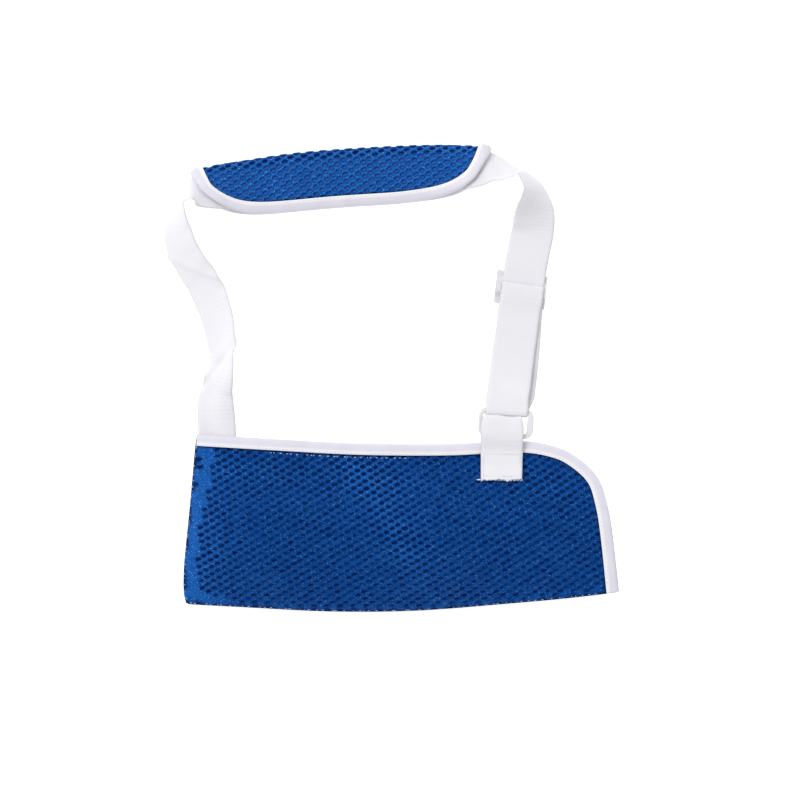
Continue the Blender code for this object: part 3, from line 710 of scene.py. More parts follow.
def capsules(name, spots, directions, ups, length, radius, material, squash=0.7):
    """Stitches: short rounded threads merged in one mesh."""
    profile = [(-0.5, 0.15), (-0.42, 0.75), (-0.2, 1.0), (0.2, 1.0), (0.42, 0.75), (0.5, 0.15)]
    sides = 6
    length = np.broadcast_to(length, len(spots))
    points, faces = [], []
    for spot, along, up, size in zip(spots, unit(np.array(directions)), unit(np.array(ups)), length):
        side = unit(np.cross(along, up))
        start = len(points)
        for share, wide in profile:
            for k in range(sides):
                a = 2 * math.pi * k / sides
                sag = 1 - (2 * share) ** 2
                points.append(
                    spot + along * share * size + side * math.cos(a) * radius * wide
                    + up * (math.sin(a) * radius * wide * squash + radius * 0.5 * sag)
                )
        for r in range(len(profile) - 1):
            for k in range(sides):
                a, b = start + r * sides + k, start + r * sides + (k + 1) % sides
                faces.append((a, b, b + sides, a + sides))
        faces.append(tuple(start + k for k in range(sides))[::-1])
        last = start + (len(profile) - 1) * sides
        faces.append(tuple(last + k for k in range(sides)))
    return outward(build(name, points, faces, material))


def row_of_stitches(
    name, line, surface, pitch, length, radius, material, start=0.002, trim=0.002, uneven=0.0
):
    """Stitches along a 2-D line, lying on surface(p) -> 3-D points, seen from the side of up."""
    total = lengths(line)[-1]
    where = np.arange(start, total - trim, pitch)
    rng = np.random.default_rng(len(where))
    where = np.clip(where + uneven * pitch * rng.uniform(-0.5, 0.5, len(where)), start, total - trim)
    length = length * (1 - uneven * rng.uniform(0, 0.8, len(where)))
    here, ahead = surface(at(line, where)), surface(at(line, where + 0.0006))
    beside = surface(at(inward(line, 0.0006), where))
    along = ahead - here
    up = unit(np.cross(beside - here, along))
    return capsules(name, here, along, up, length, radius, material)


# Webbing


def ribbon(
    name, centre, side, width, thick=STRAP_THICK, cup=None, columns=15, fray=None, folds=(), narrow=1.0
):
    """A woven ribbon on a centre line: side gives its sideways direction at each point.

    folds are soft creases, each from one point to another in plan, with its width and either its height
    or the way it pulls the webbing. narrow is a share of the width.
    """
    centre, side = np.asarray(centre), unit(np.asarray(side))
    along = unit(np.gradient(centre, axis=0))
    up = unit(np.cross(side, along))
    run = lengths(centre, 3)
    v = np.linspace(-1, 1, columns)
    cup = np.zeros(len(centre)) if cup is None else cup
    body = 1 - 0.35 * np.abs(v) ** 10
    ribs = 1 + 0.03 * np.sin(2 * np.pi * run / 0.0038)
    wave = 0.00022 * ripple(run, 5)[:, None] * v + 0.00018 * ripple(run, 9)[:, None]
    bend = cup[:, None] * (v**2 - 0.33) + wave
    narrow = np.broadcast_to(narrow, len(centre))[:, None]
    wide = (width / 2) * (1 + 0.006 * ripple(run, 12)[:, None]) * narrow * v
    bend = bend + 0.0075 * (1 - narrow) * np.sin(v * 4.2)
    middle = centre[:, None] + side[:, None] * wide[..., None] + up[:, None] * bend[..., None]
    for a, b, spread_out, high in folds:
        gap = distance(middle[..., :2].reshape(-1, 2), np.array([a, b])).reshape(len(centre), columns)
        way = up[:, None] * high if np.isscalar(high) else np.array(high)
        middle = middle + way * np.exp(-((gap / spread_out) ** 2))[..., None]
    if fray is not None:
        middle[-1] += along[-1] * fray[:, None]
    half = (thick / 2) * body * ribs[:, None]
    top = middle + up[:, None] * half[..., None]
    bottom = middle - up[:, None] * half[..., None]
    n, rows = columns, len(centre)
    size = n * rows
    points = np.vstack([top.reshape(-1, 3), bottom.reshape(-1, 3)])
    uv = np.stack(np.broadcast_arrays(run[:, None], v * width / 2), axis=-1).reshape(-1, 2)
    faces = []
    for r in range(rows - 1):
        for c in range(n - 1):
            a, b, d, e = r * n + c, r * n + c + 1, (r + 1) * n + c + 1, (r + 1) * n + c
            faces.append((a, b, d, e))
            faces.append((e + size, d + size, b + size, a + size))
        for c in (0, n - 1):
            a, b = r * n + c, (r + 1) * n + c
            faces.append((a, b, b + size, a + size))
    for r in (0, rows - 1):
        for c in range(n - 1):
            a, b = r * n + c, r * n + c + 1
            faces.append((a, b, b + size, a + size))
    return outward(build(name, points, faces, WEBBING, uv=np.vstack([uv, uv])))


def resample(line, step, axes=3):
    total = lengths(line, axes)[-1]
    return at(line, np.linspace(0, total, int(total / step) + 1), axes)


def run_point(r, z, sideways=0.0):
    """A point of the wrist-side run, which bows a little towards the elbow at the slider."""
    beside = sideways - RUN_BOW * math.exp(-(((r - BOW_AT) / BOW_REACH) ** 2))
    x = RUN_START[0] + r * math.sin(RUN_ANGLE) + beside * math.cos(RUN_ANGLE)
    return np.array([x, RUN_START[1] + r * math.cos(RUN_ANGLE) - beside * math.sin(RUN_ANGLE), z])


def turned_square(obj, start, angle, reach):
    """Brings webbing square to the ring's bars within reach of start; reach is negative away from the run."""
    ahead = np.array([math.sin(angle), math.cos(angle)])
    across = np.array([math.cos(angle), -math.sin(angle)])
    points = np.zeros(3 * len(obj.data.vertices))
    obj.data.vertices.foreach_get("co", points)
    points = points.reshape(-1, 3)
    away = points[:, :2] - start
    r, beside = away @ ahead, away @ across
    square = beside * math.tan(angle - RING_ANGLE) * (1 - ease(r / reach)) * (np.abs(beside) < STRAP_WIDTH)
    points[:, :2] += square[:, None] * ahead
    obj.data.vertices.foreach_set("co", points.ravel())
    obj.data.update()
    return obj


BAR_REACH = (RING_OPEN_DEPTH + RING_DEPTH) / 4
RUN_AHEAD = np.array([math.sin(RUN_ANGLE), math.cos(RUN_ANGLE)])
LOWER_BAR = np.array(RING_CENTRE) - BAR_REACH * np.array([math.sin(RING_ANGLE), math.cos(RING_ANGLE)])
UPPER_BAR_HEIGHT = RING_AXIS_HEIGHT - 2 * BAR_REACH * math.sin(RING_SLOPE)
TURN_RADIUS = RING_THICK / 2 + 2 * GAP + STRAP_THICK / 2
BAR_HALF = (RING_DEPTH - RING_OPEN_DEPTH) / 4
RUN_SIDE = np.array([math.cos(RUN_ANGLE), -math.sin(RUN_ANGLE), 0])


def strap_height(tilt):
    return (STRAP_WIDTH / 2) * np.sin(np.radians(tilt)) + STRAP_THICK / 2 + GAP


def pad_height(tilt):
    return PAD_HALF + PAD_BOUND_HALF + 0.0012 + PAD_FOLD * np.sin(np.radians(tilt))


def strap_route(steps):
    route = []
    for x, y, tilt in ELBOW_RUN:
        hung = 0.0063 * (1 - ease((y - ELBOW_RUN[0][1]) / 0.030))
        route.append((x, y, strap_height(tilt) + hung, tilt))
    route += [(x, y, pad_height(tilt), tilt) for x, y, tilt in PAD_RUN]
    route += [(x, y, strap_height(tilt) + WRIST_LIFT, tilt) for x, y, tilt in WRIST_BEND]
    for r in (RUN_STARTS_AT, 0.130, 0.100, 0.070, 0.050, 0.040):
        route.append((*run_point(r, RUN_HEIGHT), 0))
    line = smooth(route, steps)
    line[:, 3] = np.maximum(line[:, 3], 0)
    return line


def level_side(centre):
    along = np.gradient(centre[:, :2], axis=0)
    return unit(np.stack([along[:, 1], -along[:, 0]], axis=1))


def tilted(centre, tilt):
    level = level_side(centre)
    return np.column_stack([level * np.cos(tilt)[:, None], np.sin(tilt)])


def elbow_strap():
    """From the seam inside the elbow corner, out of the mouth and up into the shoulder pad."""
    inside_pouch = [
        (-0.1515, -0.0890, 0.0078, 2),
        (-0.1535, -0.0700, 0.0080, 3),
        (-0.1555, -0.0520, 0.0092, 6),
    ]
    route = strap_route(9)
    middle = (len(ELBOW_RUN) + 3) * 9
    line = np.vstack([smooth(inside_pouch + [tuple(route[0])], 8)[:-1], route[: middle + 1]])
    line = resample(line, 0.00095)
    tilt = np.radians(line[:, 3])
    centre, side = line[:, :3], tilted(line[:, :3], tilt)
    cup = 0.0011 * ease((line[:, 1] + 0.030) / 0.040) * (1 - ease((line[:, 1] - 0.140) / 0.020))
    before_middle = 1 - ease((line[:, 0] + 0.150) / 0.030)
    in_pad = ease((line[:, 0] + 0.186) / 0.008) * (line[:, 1] > 0.160) * before_middle
    gathered = 1 - ease((line[:, 1] + 0.012) / 0.022)
    narrow = 1 - 0.115 * gathered - 0.07 * in_pad
    centre = centre + side * (0.0022 * in_pad - 0.0010 * gathered)[:, None]
    folds = [
        ((-0.2010, 0.1086), (-0.1560, 0.0905), 0.0026, 0.0016),
        ((-0.1960, 0.0990), (-0.1530, 0.0800), 0.0050, -0.0010),
        ((-0.1380, 0.0330), (-0.1720, -0.0080), 0.0030, -0.0018),
        ((-0.1440, 0.0300), (-0.1440, -0.0120), 0.0040, 0.0012),
        ((-0.1740, -0.0040), (-0.1640, 0.0040), 0.0035, 0.0022),
    ]
    return ribbon("elbow_strap", centre, side, STRAP_WIDTH, cup=cup, folds=folds, narrow=narrow)


# Near the ring the run's two layers lie to either side of its line
UPPER_SHIFT, LOWER_SHIFT = -0.0016, 0.0038


def wrist_strap():
    """Out of the pad, round the bend and down under the slider to the ring's upper bar."""
    route = strap_route(9)
    start = (len(ELBOW_RUN) + 3) * 9
    flat = np.where(route[:, 1] > 0.1300)[0][-1] + 1
    route[flat:, 2] = RUN_HEIGHT
    slope = [(0.034, RUN_HEIGHT), (0.027, 0.0052), (0.019, 0.0090), (0.010, 0.0132)]
    slope.append((0.001, UPPER_BAR_HEIGHT - TURN_RADIUS))
    down = smooth([(0.040, RUN_HEIGHT)] + slope, 8)[1:]
    tail = np.array([(*run_point(r, z), 0) for r, z in down])
    line = resample(np.vstack([route[start:], tail]), 0.00095)
    evened = np.convolve(np.pad(line[:, 2], 9, "edge"), np.ones(19) / 19, "valid")
    line[:, 2] += (evened - line[:, 2]) * (line[:, 1] > 0.110) * (line[:, 1] < 0.165)
    tilt = np.radians(line[:, 3])
    side = tilted(line[:, :3], tilt)
    r = (line[:, :2] - RUN_START) @ RUN_AHEAD
    lower = ease((0.060 - line[:, 1]) / 0.060)
    shift = LOWER_SHIFT * ease((0.115 - r) / 0.095) * ease((r + 0.002) / 0.016)
    centre = line[:, :3] + RUN_SIDE * shift[:, None]
    folds = [
        ((0.0900, 0.1760), (0.1150, 0.1930), 0.0040, 0.0008),
        ((0.0980, 0.1835), (0.1080, 0.1855), 0.0070, (0, -0.0048, 0)),
        ((0.1190, 0.1765), (0.1200, 0.1755), 0.0068, (-0.0052, 0.0048, 0)),
    ]
    made = ribbon("wrist_strap", centre, side, STRAP_WIDTH, folds=folds, narrow=1 - 0.012 * lower)
    return turned_square(made, RUN_START, RUN_ANGLE, SQUARE_RUN)


END_LOW = RUN_HEIGHT + STRAP_THICK + GAP
CENTRE_BAR_HEIGHT = END_LOW + STRAP_THICK / 2 + GAP + 0.0009
WRAP_RADIUS = 0.0009 + GAP + STRAP_THICK / 2
RETURN_LOW = END_LOW + STRAP_THICK + GAP
END_LENGTH = 0.028


def adjuster_strap():
    """Round the ring's upper bar, back over the run and round the slider's centre bar."""
    turn = np.radians(np.arange(-88, 91, 11))
    tip = -BAR_HALF - TURN_RADIUS * np.cos(turn)
    path = [(0.0006, UPPER_BAR_HEIGHT - TURN_RADIUS)]
    path += list(zip(tip, UPPER_BAR_HEIGHT + TURN_RADIUS * np.sin(turn)))
    top = UPPER_BAR_HEIGHT + TURN_RADIUS
    path += [(0.0014, top), (0.010, top - 0.0016), (0.020, top - 0.0052), (0.032, 0.0104), (0.044, 0.0074)]
    path += [(0.058, RETURN_LOW + 0.0002), (SLIDER_AT - END_LENGTH - 0.004, RETURN_LOW)]
    bar = SLIDER_AT + 0.0024
    over = CENTRE_BAR_HEIGHT + WRAP_RADIUS
    path += [(SLIDER_AT - 0.018, RETURN_LOW + 0.0003)]
    path += [(SLIDER_AT - 0.009, over - 0.0006), (SLIDER_AT - 0.003, over)]
    path.append((bar - 0.001, over))
    back = np.radians(np.arange(70, -71, -20))
    path += [(bar + WRAP_RADIUS * math.cos(a), CENTRE_BAR_HEIGHT + WRAP_RADIUS * math.sin(a)) for a in back]
    path += [(bar - 0.001, END_LOW), (SLIDER_AT - 0.014, END_LOW), (SLIDER_AT - END_LENGTH, END_LOW)]
    line = resample(smooth(path, 6), 0.0008, 2)
    centre = np.array([run_point(r, z) for r, z in line])
    done = np.arange(len(line)) / len(line)
    returning = ease((0.106 - line[:, 0]) / 0.020) * (done < 0.72)
    shift = UPPER_SHIFT * returning * (0.25 + 0.75 * ease(line[:, 0] / 0.010))
    centre = centre + RUN_SIDE * shift[:, None]
    made = ribbon("adjuster_strap", centre, np.tile(RUN_SIDE, (len(centre), 1)), STRAP_WIDTH - 0.0002)
    return turned_square(made, RUN_START, RUN_ANGLE, SQUARE_RUN)


def tab_path():
    ahead = np.array([math.sin(TAB_ANGLE), math.cos(TAB_ANGLE)])

    def over_panel(q, lift):
        spot = np.array([LOWER_BAR]) + q * ahead
        bound = BOUND_HALF - (BOUND_HALF - MESH_HALF) * ease((-q - 0.020) / 0.012)
        return (q, float(panel_height(spot, True)[0] + bound + lift))

    low, high, z = 0.0018, 0.0034, RING_AXIS_HEIGHT
    path = [over_panel(q, low) for q in (-0.034, -0.028, -0.020, -0.013, -0.0055)]
    path += [(-0.002, z - 0.0039), (0.003, z - 0.0040), (0.009, z - 0.0038), (0.0148, z - 0.0027)]
    path += [(0.0173, z), (0.0158, z + 0.0030), (0.009, z + 0.0043), (0.003, z + 0.0046)]
    path += [(-0.003, z + 0.0038)]
    path += [over_panel(q, high) for q in (-0.013, -0.020, -0.028, -0.0395)]
    line = resample(smooth(path, 8), 0.0008, 2)
    middle = LOWER_BAR + TAB_SIDE[:2] * TAB_SHIFT
    return np.array([(*(middle + q * ahead), height) for q, height in line])


TAB_SIDE = np.array([math.cos(TAB_ANGLE), -math.sin(TAB_ANGLE), 0])


def anchor_tab():
    centre = tab_path()
    fray = 0.0006 * np.random.default_rng(3).standard_normal(15) + np.linspace(0.0008, -0.0012, 15)
    q = (centre[:, :2] - LOWER_BAR) @ np.array([math.sin(TAB_ANGLE), math.cos(TAB_ANGLE)])
    narrow = 1 - 0.07 * ease((q - 0.006) / 0.010) - 0.035 * ease((-q - 0.006) / 0.030)
    side = np.tile(TAB_SIDE, (len(centre), 1))
    made = ribbon("anchor_tab_webbing", centre, side, TAB_WIDTH, fray=fray, narrow=narrow)
    return turned_square(made, LOWER_BAR, TAB_ANGLE, SQUARE_TAB)


def tab_frays():
    """Loose threads at the tab's raw end."""
    rng = np.random.default_rng(8)
    centre = tab_path()
    end, ahead = centre[-1], unit(centre[-1] - centre[-6])
    spots, ways, sizes = [], [], []
    for k in range(46):
        across = -TAB_WIDTH / 2 + TAB_WIDTH * (k + rng.random()) / 46
        lean = rng.normal(0, 0.5)
        spot = end + TAB_SIDE * across + ahead * rng.uniform(-0.0006, 0.0002)
        spots.append(spot + np.array([0, 0, 0.0003]))
        ways.append(ahead + TAB_SIDE * lean)
        sizes.append(rng.uniform(0.0008, 0.0018))
    for k in range(4):
        spots.append(end - TAB_SIDE * (TAB_WIDTH / 2 + 0.0012) + ahead * (0.0002 * k - 0.0004))
        ways.append(-TAB_SIDE + ahead * rng.normal(0.1, 0.15))
        sizes.append(0.0040 - 0.0004 * k)
    ups = np.tile((0, 0, 1.0), (len(spots), 1))
    return capsules("anchor_tab_frays", spots, ways, ups, np.array(sizes), 0.00026, THREAD)


def tab_stitches():
    """Two rows across the tab and one down each side, through to the front panel."""
    centre = tab_path()
    run = lengths(centre, 3)
    end = run[-1]
    spots, ways = [], []

    def on_tab(back, across):
        spot = np.array([np.interp(end - back, run, centre[:, k]) for k in range(3)])
        return spot + TAB_SIDE * across + np.array([0, 0, STRAP_THICK / 2 + 0.0001])

    for back in (0.0035, 0.0235):
        for across in np.arange(-0.0155, 0.0156, 0.0031):
            spots.append(on_tab(back, across))
            ways.append(TAB_SIDE)
    for across in (-0.0162, 0.0162):
        for back in np.arange(0.0050, 0.0225, 0.0031):
            spots.append(on_tab(back, across))
            ways.append(on_tab(back, across) - on_tab(back + 0.002, across))
    ups = np.tile((0, 0, 1.0), (len(spots), 1))
    return capsules("anchor_tab_stitches", spots, ways, ups, 0.0022, 0.0003, THREAD)


# Plastic fittings


def swept_ring():
    """The ring: an oval section swept round a rounded rectangle."""
    width, depth = (RING_WIDTH + RING_OPEN_WIDTH) / 2, (RING_DEPTH + RING_OPEN_DEPTH) / 2
    radius, path = 0.0060, []
    for quarter, (sx, sy) in enumerate(((1, 1), (-1, 1), (-1, -1), (1, -1))):
        for step in range(9):
            a = math.radians(90 * (quarter + step / 8))
            x = sx * (width / 2 - radius) + radius * math.cos(a)
            path.append((x, sy * (depth / 2 - radius) + radius * math.sin(a)))
    path = np.array(path)
    along = unit(np.roll(path, -1, axis=0) - np.roll(path, 1, axis=0))
    out = np.stack([along[:, 1], -along[:, 0]], axis=1)
    sides = 20
    a = 2 * np.pi * np.arange(sides) / sides
    power = 0.62
    across = (RING_WIDTH - RING_OPEN_WIDTH) / 4 * np.sign(np.cos(a)) * np.abs(np.cos(a)) ** power
    ear = RING_EAR * ease((path[:, 0] - 0.018) / 0.004) * ease((0.0085 - path[:, 1]) / 0.004)
    high = RING_THICK / 2 * np.sign(np.sin(a)) * np.abs(np.sin(a)) ** power
    slope = (
        np.array([0, math.cos(RING_SLOPE), -math.sin(RING_SLOPE)]),
        np.array([0, math.sin(RING_SLOPE), math.cos(RING_SLOPE)]),
    )
    cosine, sine = math.cos(RING_ANGLE), math.sin(RING_ANGLE)
    turn = np.array([[cosine, sine, 0], [-sine, cosine, 0], [0, 0, 1]])
    middle = np.array([*RING_CENTRE, (RING_AXIS_HEIGHT + UPPER_BAR_HEIGHT) / 2])
    points = []
    for spot, way, wider in zip(path, out, ear):
        for c, h in zip(across, high):
            x, y = spot + way * (c - wider * (c < 0))
            points.append(middle + turn @ (np.array([x, 0, 0]) + slope[0] * y + slope[1] * h))
    faces = []
    for r in range(len(path)):
        for k in range(sides):
            n = (r + 1) % len(path)
            m = (k + 1) % sides
            faces.append((r * sides + k, r * sides + m, n * sides + m, n * sides + k))
    return outward(build("ring_moulded", points, faces, PLASTIC))


def block(low, high, bend=None):
    """Corners and faces of a box in the run's own directions, cut into slices along the run if bent."""
    slices = np.linspace(low[1], high[1], 2 if bend is None else 31)
    points, faces = [], []
    for r in slices:
        lift = 0 if bend is None else bend(r)
        for s, z in ((low[0], low[2]), (high[0], low[2]), (high[0], high[2]), (low[0], high[2])):
            points.append(run_point(SLIDER_AT + r, z + lift, s + SLIDER_SHIFT))
    for k in range(len(slices) - 1):
        for c in range(4):
            a, b = 4 * k + c, 4 * k + (c + 1) % 4
            faces.append((a, b, b + 4, a + 4))
    last = 4 * (len(slices) - 1)
    faces += [(0, 3, 2, 1), (last, last + 1, last + 2, last + 3)]
    return points, faces


def slider():
    """Moulded three-bar slider: two arched rails, two outer bars and a raised centre bar, all rounded."""
    inner, outer, end = SLIDER_OPEN_WIDTH / 2, SLIDER_WIDTH / 2, SLIDER_LENGTH / 2
    top = CENTRE_BAR_HEIGHT - BAR_THICK / 2

    def arch(r):
        return top * (1 - ease((abs(r) - 0.0040) / 0.0056))

    parts = [
        block((inner - 0.0003, -end, 0.0), (outer - 0.0008, end, BAR_THICK), arch),
        block((-outer - RAIL_EXTRA, -end, 0.0), (-inner + 0.0008, end, BAR_THICK), arch),
        block((-inner - 0.001, end - 0.0045, 0.0001), (inner + 0.001, end - 0.0001, BAR_THICK - 0.0001)),
        block((-inner - 0.001, -end + 0.0001, 0.0001), (inner + 0.001, -end + 0.0045, BAR_THICK - 0.0001)),
        block(
            (-inner - 0.001, -0.0022, CENTRE_BAR_HEIGHT - 0.0009),
            (inner + 0.001, 0.0024, CENTRE_BAR_HEIGHT + 0.0009),
        ),
    ]
    points, faces = [], []
    for some, sides in parts:
        faces += [tuple(i + len(points) for i in face) for face in sides]
        points += some
    obj = outward(build("slider_moulded", points, faces, PLASTIC))
    remesh = obj.modifiers.new("one body", "REMESH")
    remesh.mode = "VOXEL"
    remesh.voxel_size = 0.00038
    remesh.use_smooth_shade = True
    soften = obj.modifiers.new("rounded", "SMOOTH")
    soften.factor = 0.5
    soften.iterations = 5
    return applied(obj)


def applied(obj):
    """The object's modifiers made part of its mesh."""
    shown = obj.evaluated_get(bpy.context.evaluated_depsgraph_get())
    mesh = bpy.data.meshes.new_from_object(shown)
    obj.modifiers.clear()
    obj.data = mesh
    mesh.shade_smooth()
    return obj


# Shoulder pad

PAD_LINE = strap_route(9)[len(ELBOW_RUN) * 9 : (len(ELBOW_RUN) + len(PAD_RUN)) * 9 + 1]
PAD_LENGTH = lengths(PAD_LINE)[-1]


def pad_plane(s, t, n):
    """A point of the pad: s along its run, t across it towards the fold, n off the strap's plane."""
    reach = np.clip(s, 0, PAD_LENGTH)
    spot = at(PAD_LINE, reach)
    ahead = at(PAD_LINE, np.minimum(reach + 0.006, PAD_LENGTH))
    behind = at(PAD_LINE, np.maximum(reach - 0.006, 0))
    along = unit(ahead[:, :2] - behind[:, :2])
    spot[:, :2] += along * (s - reach)[:, None]
    left = np.stack([-along[:, 1], along[:, 0]], axis=1)
    tilt = np.radians(spot[:, 3])
    across = np.column_stack([left * np.cos(tilt)[:, None], -np.sin(tilt)])
    out = np.column_stack([left * np.sin(tilt)[:, None], np.cos(tilt)])
    return spot[:, :3] + across * t[:, None] + out * n[:, None]


def leaf_half(t):
    return PAD_HALF_SEWN + (PAD_HALF - PAD_HALF_SEWN) * ease((t + 0.0300) / 0.0110)


PAD_EDGE = smooth(PAD_FREE_EDGE, 12)
ROLL = math.pi * PAD_HALF / 2  # half the way round the fold
PAD_TOP = PAD_FOLD + ROLL


def on_pad(p, h, puffed=True):
    """place(p, h) on the unrolled cover: its second number is PAD_TOP at the fold and grows down the back."""
    s, w = p[:, 0], p[:, 1]
    front, back = w < PAD_FOLD, w > PAD_TOP + ROLL
    t = np.where(front, w, 2 * PAD_TOP - w)
    turn = np.clip((w - PAD_FOLD) / (2 * ROLL), 0, 1) * math.pi
    puff = 0.0006 * ripple(s + 0.3 * t, 21) * ease((t + 0.022) / 0.02)
    flat = leaf_half(np.minimum(t, PAD_FOLD)) + h + np.where(front & puffed, puff, 0)
    n = np.where(front, flat, np.where(back, -flat, (PAD_HALF + h) * np.cos(turn)))
    t = np.where(front | back, t, PAD_FOLD + (PAD_HALF + h) * np.sin(turn))
    return pad_plane(s, t, n)


def pad_lean(p):
    return np.column_stack([p[:, 0] - (p[:, 1] - PAD_TOP) * math.tan(math.radians(4)), p[:, 1]])


def pad_cover():
    front = inward(PAD_EDGE[::-1], 0.0022)[::-1]
    front = front[front[:, 1] < PAD_FOLD]
    back = front * (1, -1) + (0, 2 * PAD_TOP)
    loop = np.vstack([front, back[::-1]])
    edges = [np.vstack([front[:1], front]), np.vstack([back[:1], back])]

    def solid_near(p):
        return np.minimum(distance(p, edges[0]), distance(p, edges[1])) < 0.0052

    def under(p):
        t = np.where(p[:, 1] < PAD_TOP, p[:, 1], 2 * PAD_TOP - p[:, 1])
        return ease((t + 0.0200) / 0.005) * ease((0.0175 - t) / 0.005)

    def clear(p):
        # Painted light: the upper leaf's crests are painted much brighter, and its pits darker, than on the
        # leaf that lies underneath.
        front = ease((PAD_TOP - p[:, 1]) / 0.006)
        return 0.40 + 1.05 * front + 0.08 * ripple(p[:, 0] + 0.7 * p[:, 1], 41)

    return air_mesh("shoulder_pad_cover", loop, solid_near, on_pad, pad_lean, clear, under=under)


def pad_tape(name, side):
    """Tape on one leaf, carried over the fold at both ends: side is 1 on the front and -1 on the back."""
    line = PAD_EDGE[PAD_EDGE[:, 1] < PAD_FOLD][::-1]
    over = np.linspace(PAD_FOLD, PAD_TOP, 8)
    first, last = line[0, 0], line[-1, 0]
    before = np.column_stack([np.full(8, first), over])[::-1]
    line = np.vstack([before, line, np.column_stack([np.full(8, last), over])])
    line = spread(line, np.linspace(0, 1, 240))

    def height(flat, rise):
        w = np.minimum(flat[:, 1], PAD_TOP)
        w = w if side > 0 else 2 * PAD_TOP - w
        return on_pad(np.column_stack([flat[:, 0], w]), rise, False)

    return tape_round(name, line, height, PAD_TAPE_HALF, ripple_seed=7 + side)


def pouch_tape(name, front):
    def height(flat, rise):
        return np.column_stack([flat, panel_height(flat, front) + rise])

    return tape_round(name, FRONT_EDGE if front else BACK_EDGE, height, TAPE_HALF, ripple_seed=3 + front)


def pouch_stitches(name, front, side):
    """The tape's stitching: side is 1 on its upper leg and -1 on its lower one."""
    line = inward(FRONT_EDGE if front else BACK_EDGE, 0.0086)
    lift = (TAPE_HALF + TAPE_THICK / 2) * side

    def surface(p):
        return np.column_stack([p, panel_height(p, front) + lift])

    return row_of_stitches(name, line, surface, 0.0036, 0.0024, 0.00028, THREAD)


def pad_stitches(name, side):
    edge = PAD_EDGE[PAD_EDGE[:, 1] < PAD_FOLD - 0.003][::-1]
    line = inward(edge, 0.0086)

    def surface(p):
        return pad_plane(p[:, 0], p[:, 1], side * (leaf_half(p[:, 1]) + PAD_BOUND_HALF))

    return row_of_stitches(name, line, surface, 0.0036, 0.0024, 0.00028, THREAD)


def pouch_overlock_shadow_line(name, front):
    """Navy thread that holds the mesh's edge, drawn as a fine dark line beside the tape and round the open
    side:
    painted shade, a row of dark stitches that stands in for the shadow line along the tape's edge.
    """
    side = 1 if front else -1
    place = on_panel(front)
    line = inward(FRONT_EDGE if front else BACK_EDGE, 0.0105)

    def surface(p):
        return place(p, np.full(len(p), side * MESH_HALF))

    return row_of_stitches(name, line, surface, 0.0019, 0.0024, 0.00050, NAVY_SHADOW_LINE_THREAD)


def seam_overlock_shadow_line(name, front):
    # Painted shade: navy stitches that draw a dark shadow line along the sewn elbow end and bottom.
    line = np.vstack([ELBOW[::-1][:-1], BOTTOM[1:]])
    line = inward(spread(line, np.linspace(0, 1, 300))[::-1], 0.0005)[::-1]
    place = on_panel(front)

    def surface(p):
        return place(p, np.full(len(p), 0.0006 if front else -0.0006))

    return row_of_stitches(name, line, surface, 0.0019, 0.0024, 0.00048, NAVY_SHADOW_LINE_THREAD)


def pad_overlock_shadow_line(name, side):
    # Painted shade: navy stitches that draw a dark shadow line beside the pad's tape.
    edge = PAD_EDGE[PAD_EDGE[:, 1] < PAD_FOLD][::-1]
    line = inward(edge, 0.0105)

    def surface(p):
        w = p[:, 1] if side > 0 else 2 * PAD_TOP - p[:, 1]
        return on_pad(np.column_stack([p[:, 0], w]), MESH_HALF)

    return row_of_stitches(name, line, surface, 0.0019, 0.0024, 0.00050, NAVY_SHADOW_LINE_THREAD)


def mouth_specks():
    """Pale loops of the binding's under thread, showing below the mouth's tape near the elbow."""
    line = inward(FRONT_EDGE, 0.0125)
    line = line[(line[:, 0] > -0.112) & (line[:, 0] < 0.020)]
    place = on_panel(True)

    def surface(p):
        return place(p, np.full(len(p), MESH_HALF))

    return row_of_stitches(
        "pouch_mouth_specks", line, surface, 0.0050, 0.0024, 0.00040, PALE_THREAD, uneven=0.9
    )


def seam_stitches(name, front):
    """Pale thread that shows along the bottom and the elbow end."""
    line = np.vstack([ELBOW[::-1][:-1], BOTTOM[1:]])
    line = spread(line, np.linspace(0, 1, 300))
    line = inward(line[::-1], 0.0013)[::-1]
    place = on_panel(front)

    def surface(p):
        return place(p, np.full(len(p), 0.0009 if front else -0.0009))

    return row_of_stitches(name, line, surface, 0.0060, 0.0026, 0.00036, PALE_THREAD, start=0.004, uneven=0.9)


# Putting the sling together

front_mesh = panel("pouch_front_mesh", True)
back_mesh = panel("pouch_back_mesh", False)
front_tape = pouch_tape("pouch_front_tape", True)
back_tape = pouch_tape("pouch_back_tape", False)
front_stitches = pouch_stitches("pouch_front_tape_stitches", True, 1)
back_stitches = pouch_stitches("pouch_back_tape_stitches", False, -1)
front_seam = seam_stitches("pouch_front_seam_stitches", True)
back_seam = seam_stitches("pouch_back_seam_stitches", False)
overlock_shadow_lines = [pouch_overlock_shadow_line("pouch_front_overlock_shadow_line", True), pouch_overlock_shadow_line("pouch_back_overlock_shadow_line", False)]
overlock_shadow_lines += [seam_overlock_shadow_line("pouch_front_seam_overlock_shadow_line", True)]
overlock_shadow_lines += [seam_overlock_shadow_line("pouch_back_seam_overlock_shadow_line", False)]
specks = mouth_specks()
tab = anchor_tab()
frays = tab_frays()
tab_thread = tab_stitches()
for piece, node, slot_name in (
    (front_mesh, "pouch_front_panel", "air_mesh"),
    (back_mesh, "pouch_back_panel", "air_mesh"),
    (front_tape, "pouch_front_binding", "binding_tape"),
    (back_tape, "pouch_back_binding", "binding_tape"),
    (tab, "anchor_tab", "webbing"),
):
    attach(piece, "pouch")
    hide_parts(node)
for piece in (front_stitches, back_stitches, front_seam, back_seam):
    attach(piece, "pouch")
for piece in (*overlock_shadow_lines, specks):
    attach(piece, "pouch")
for piece in (frays, tab_thread):
    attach(piece, "pouch")

left = elbow_strap()
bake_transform(left)
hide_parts("strap_anchor")

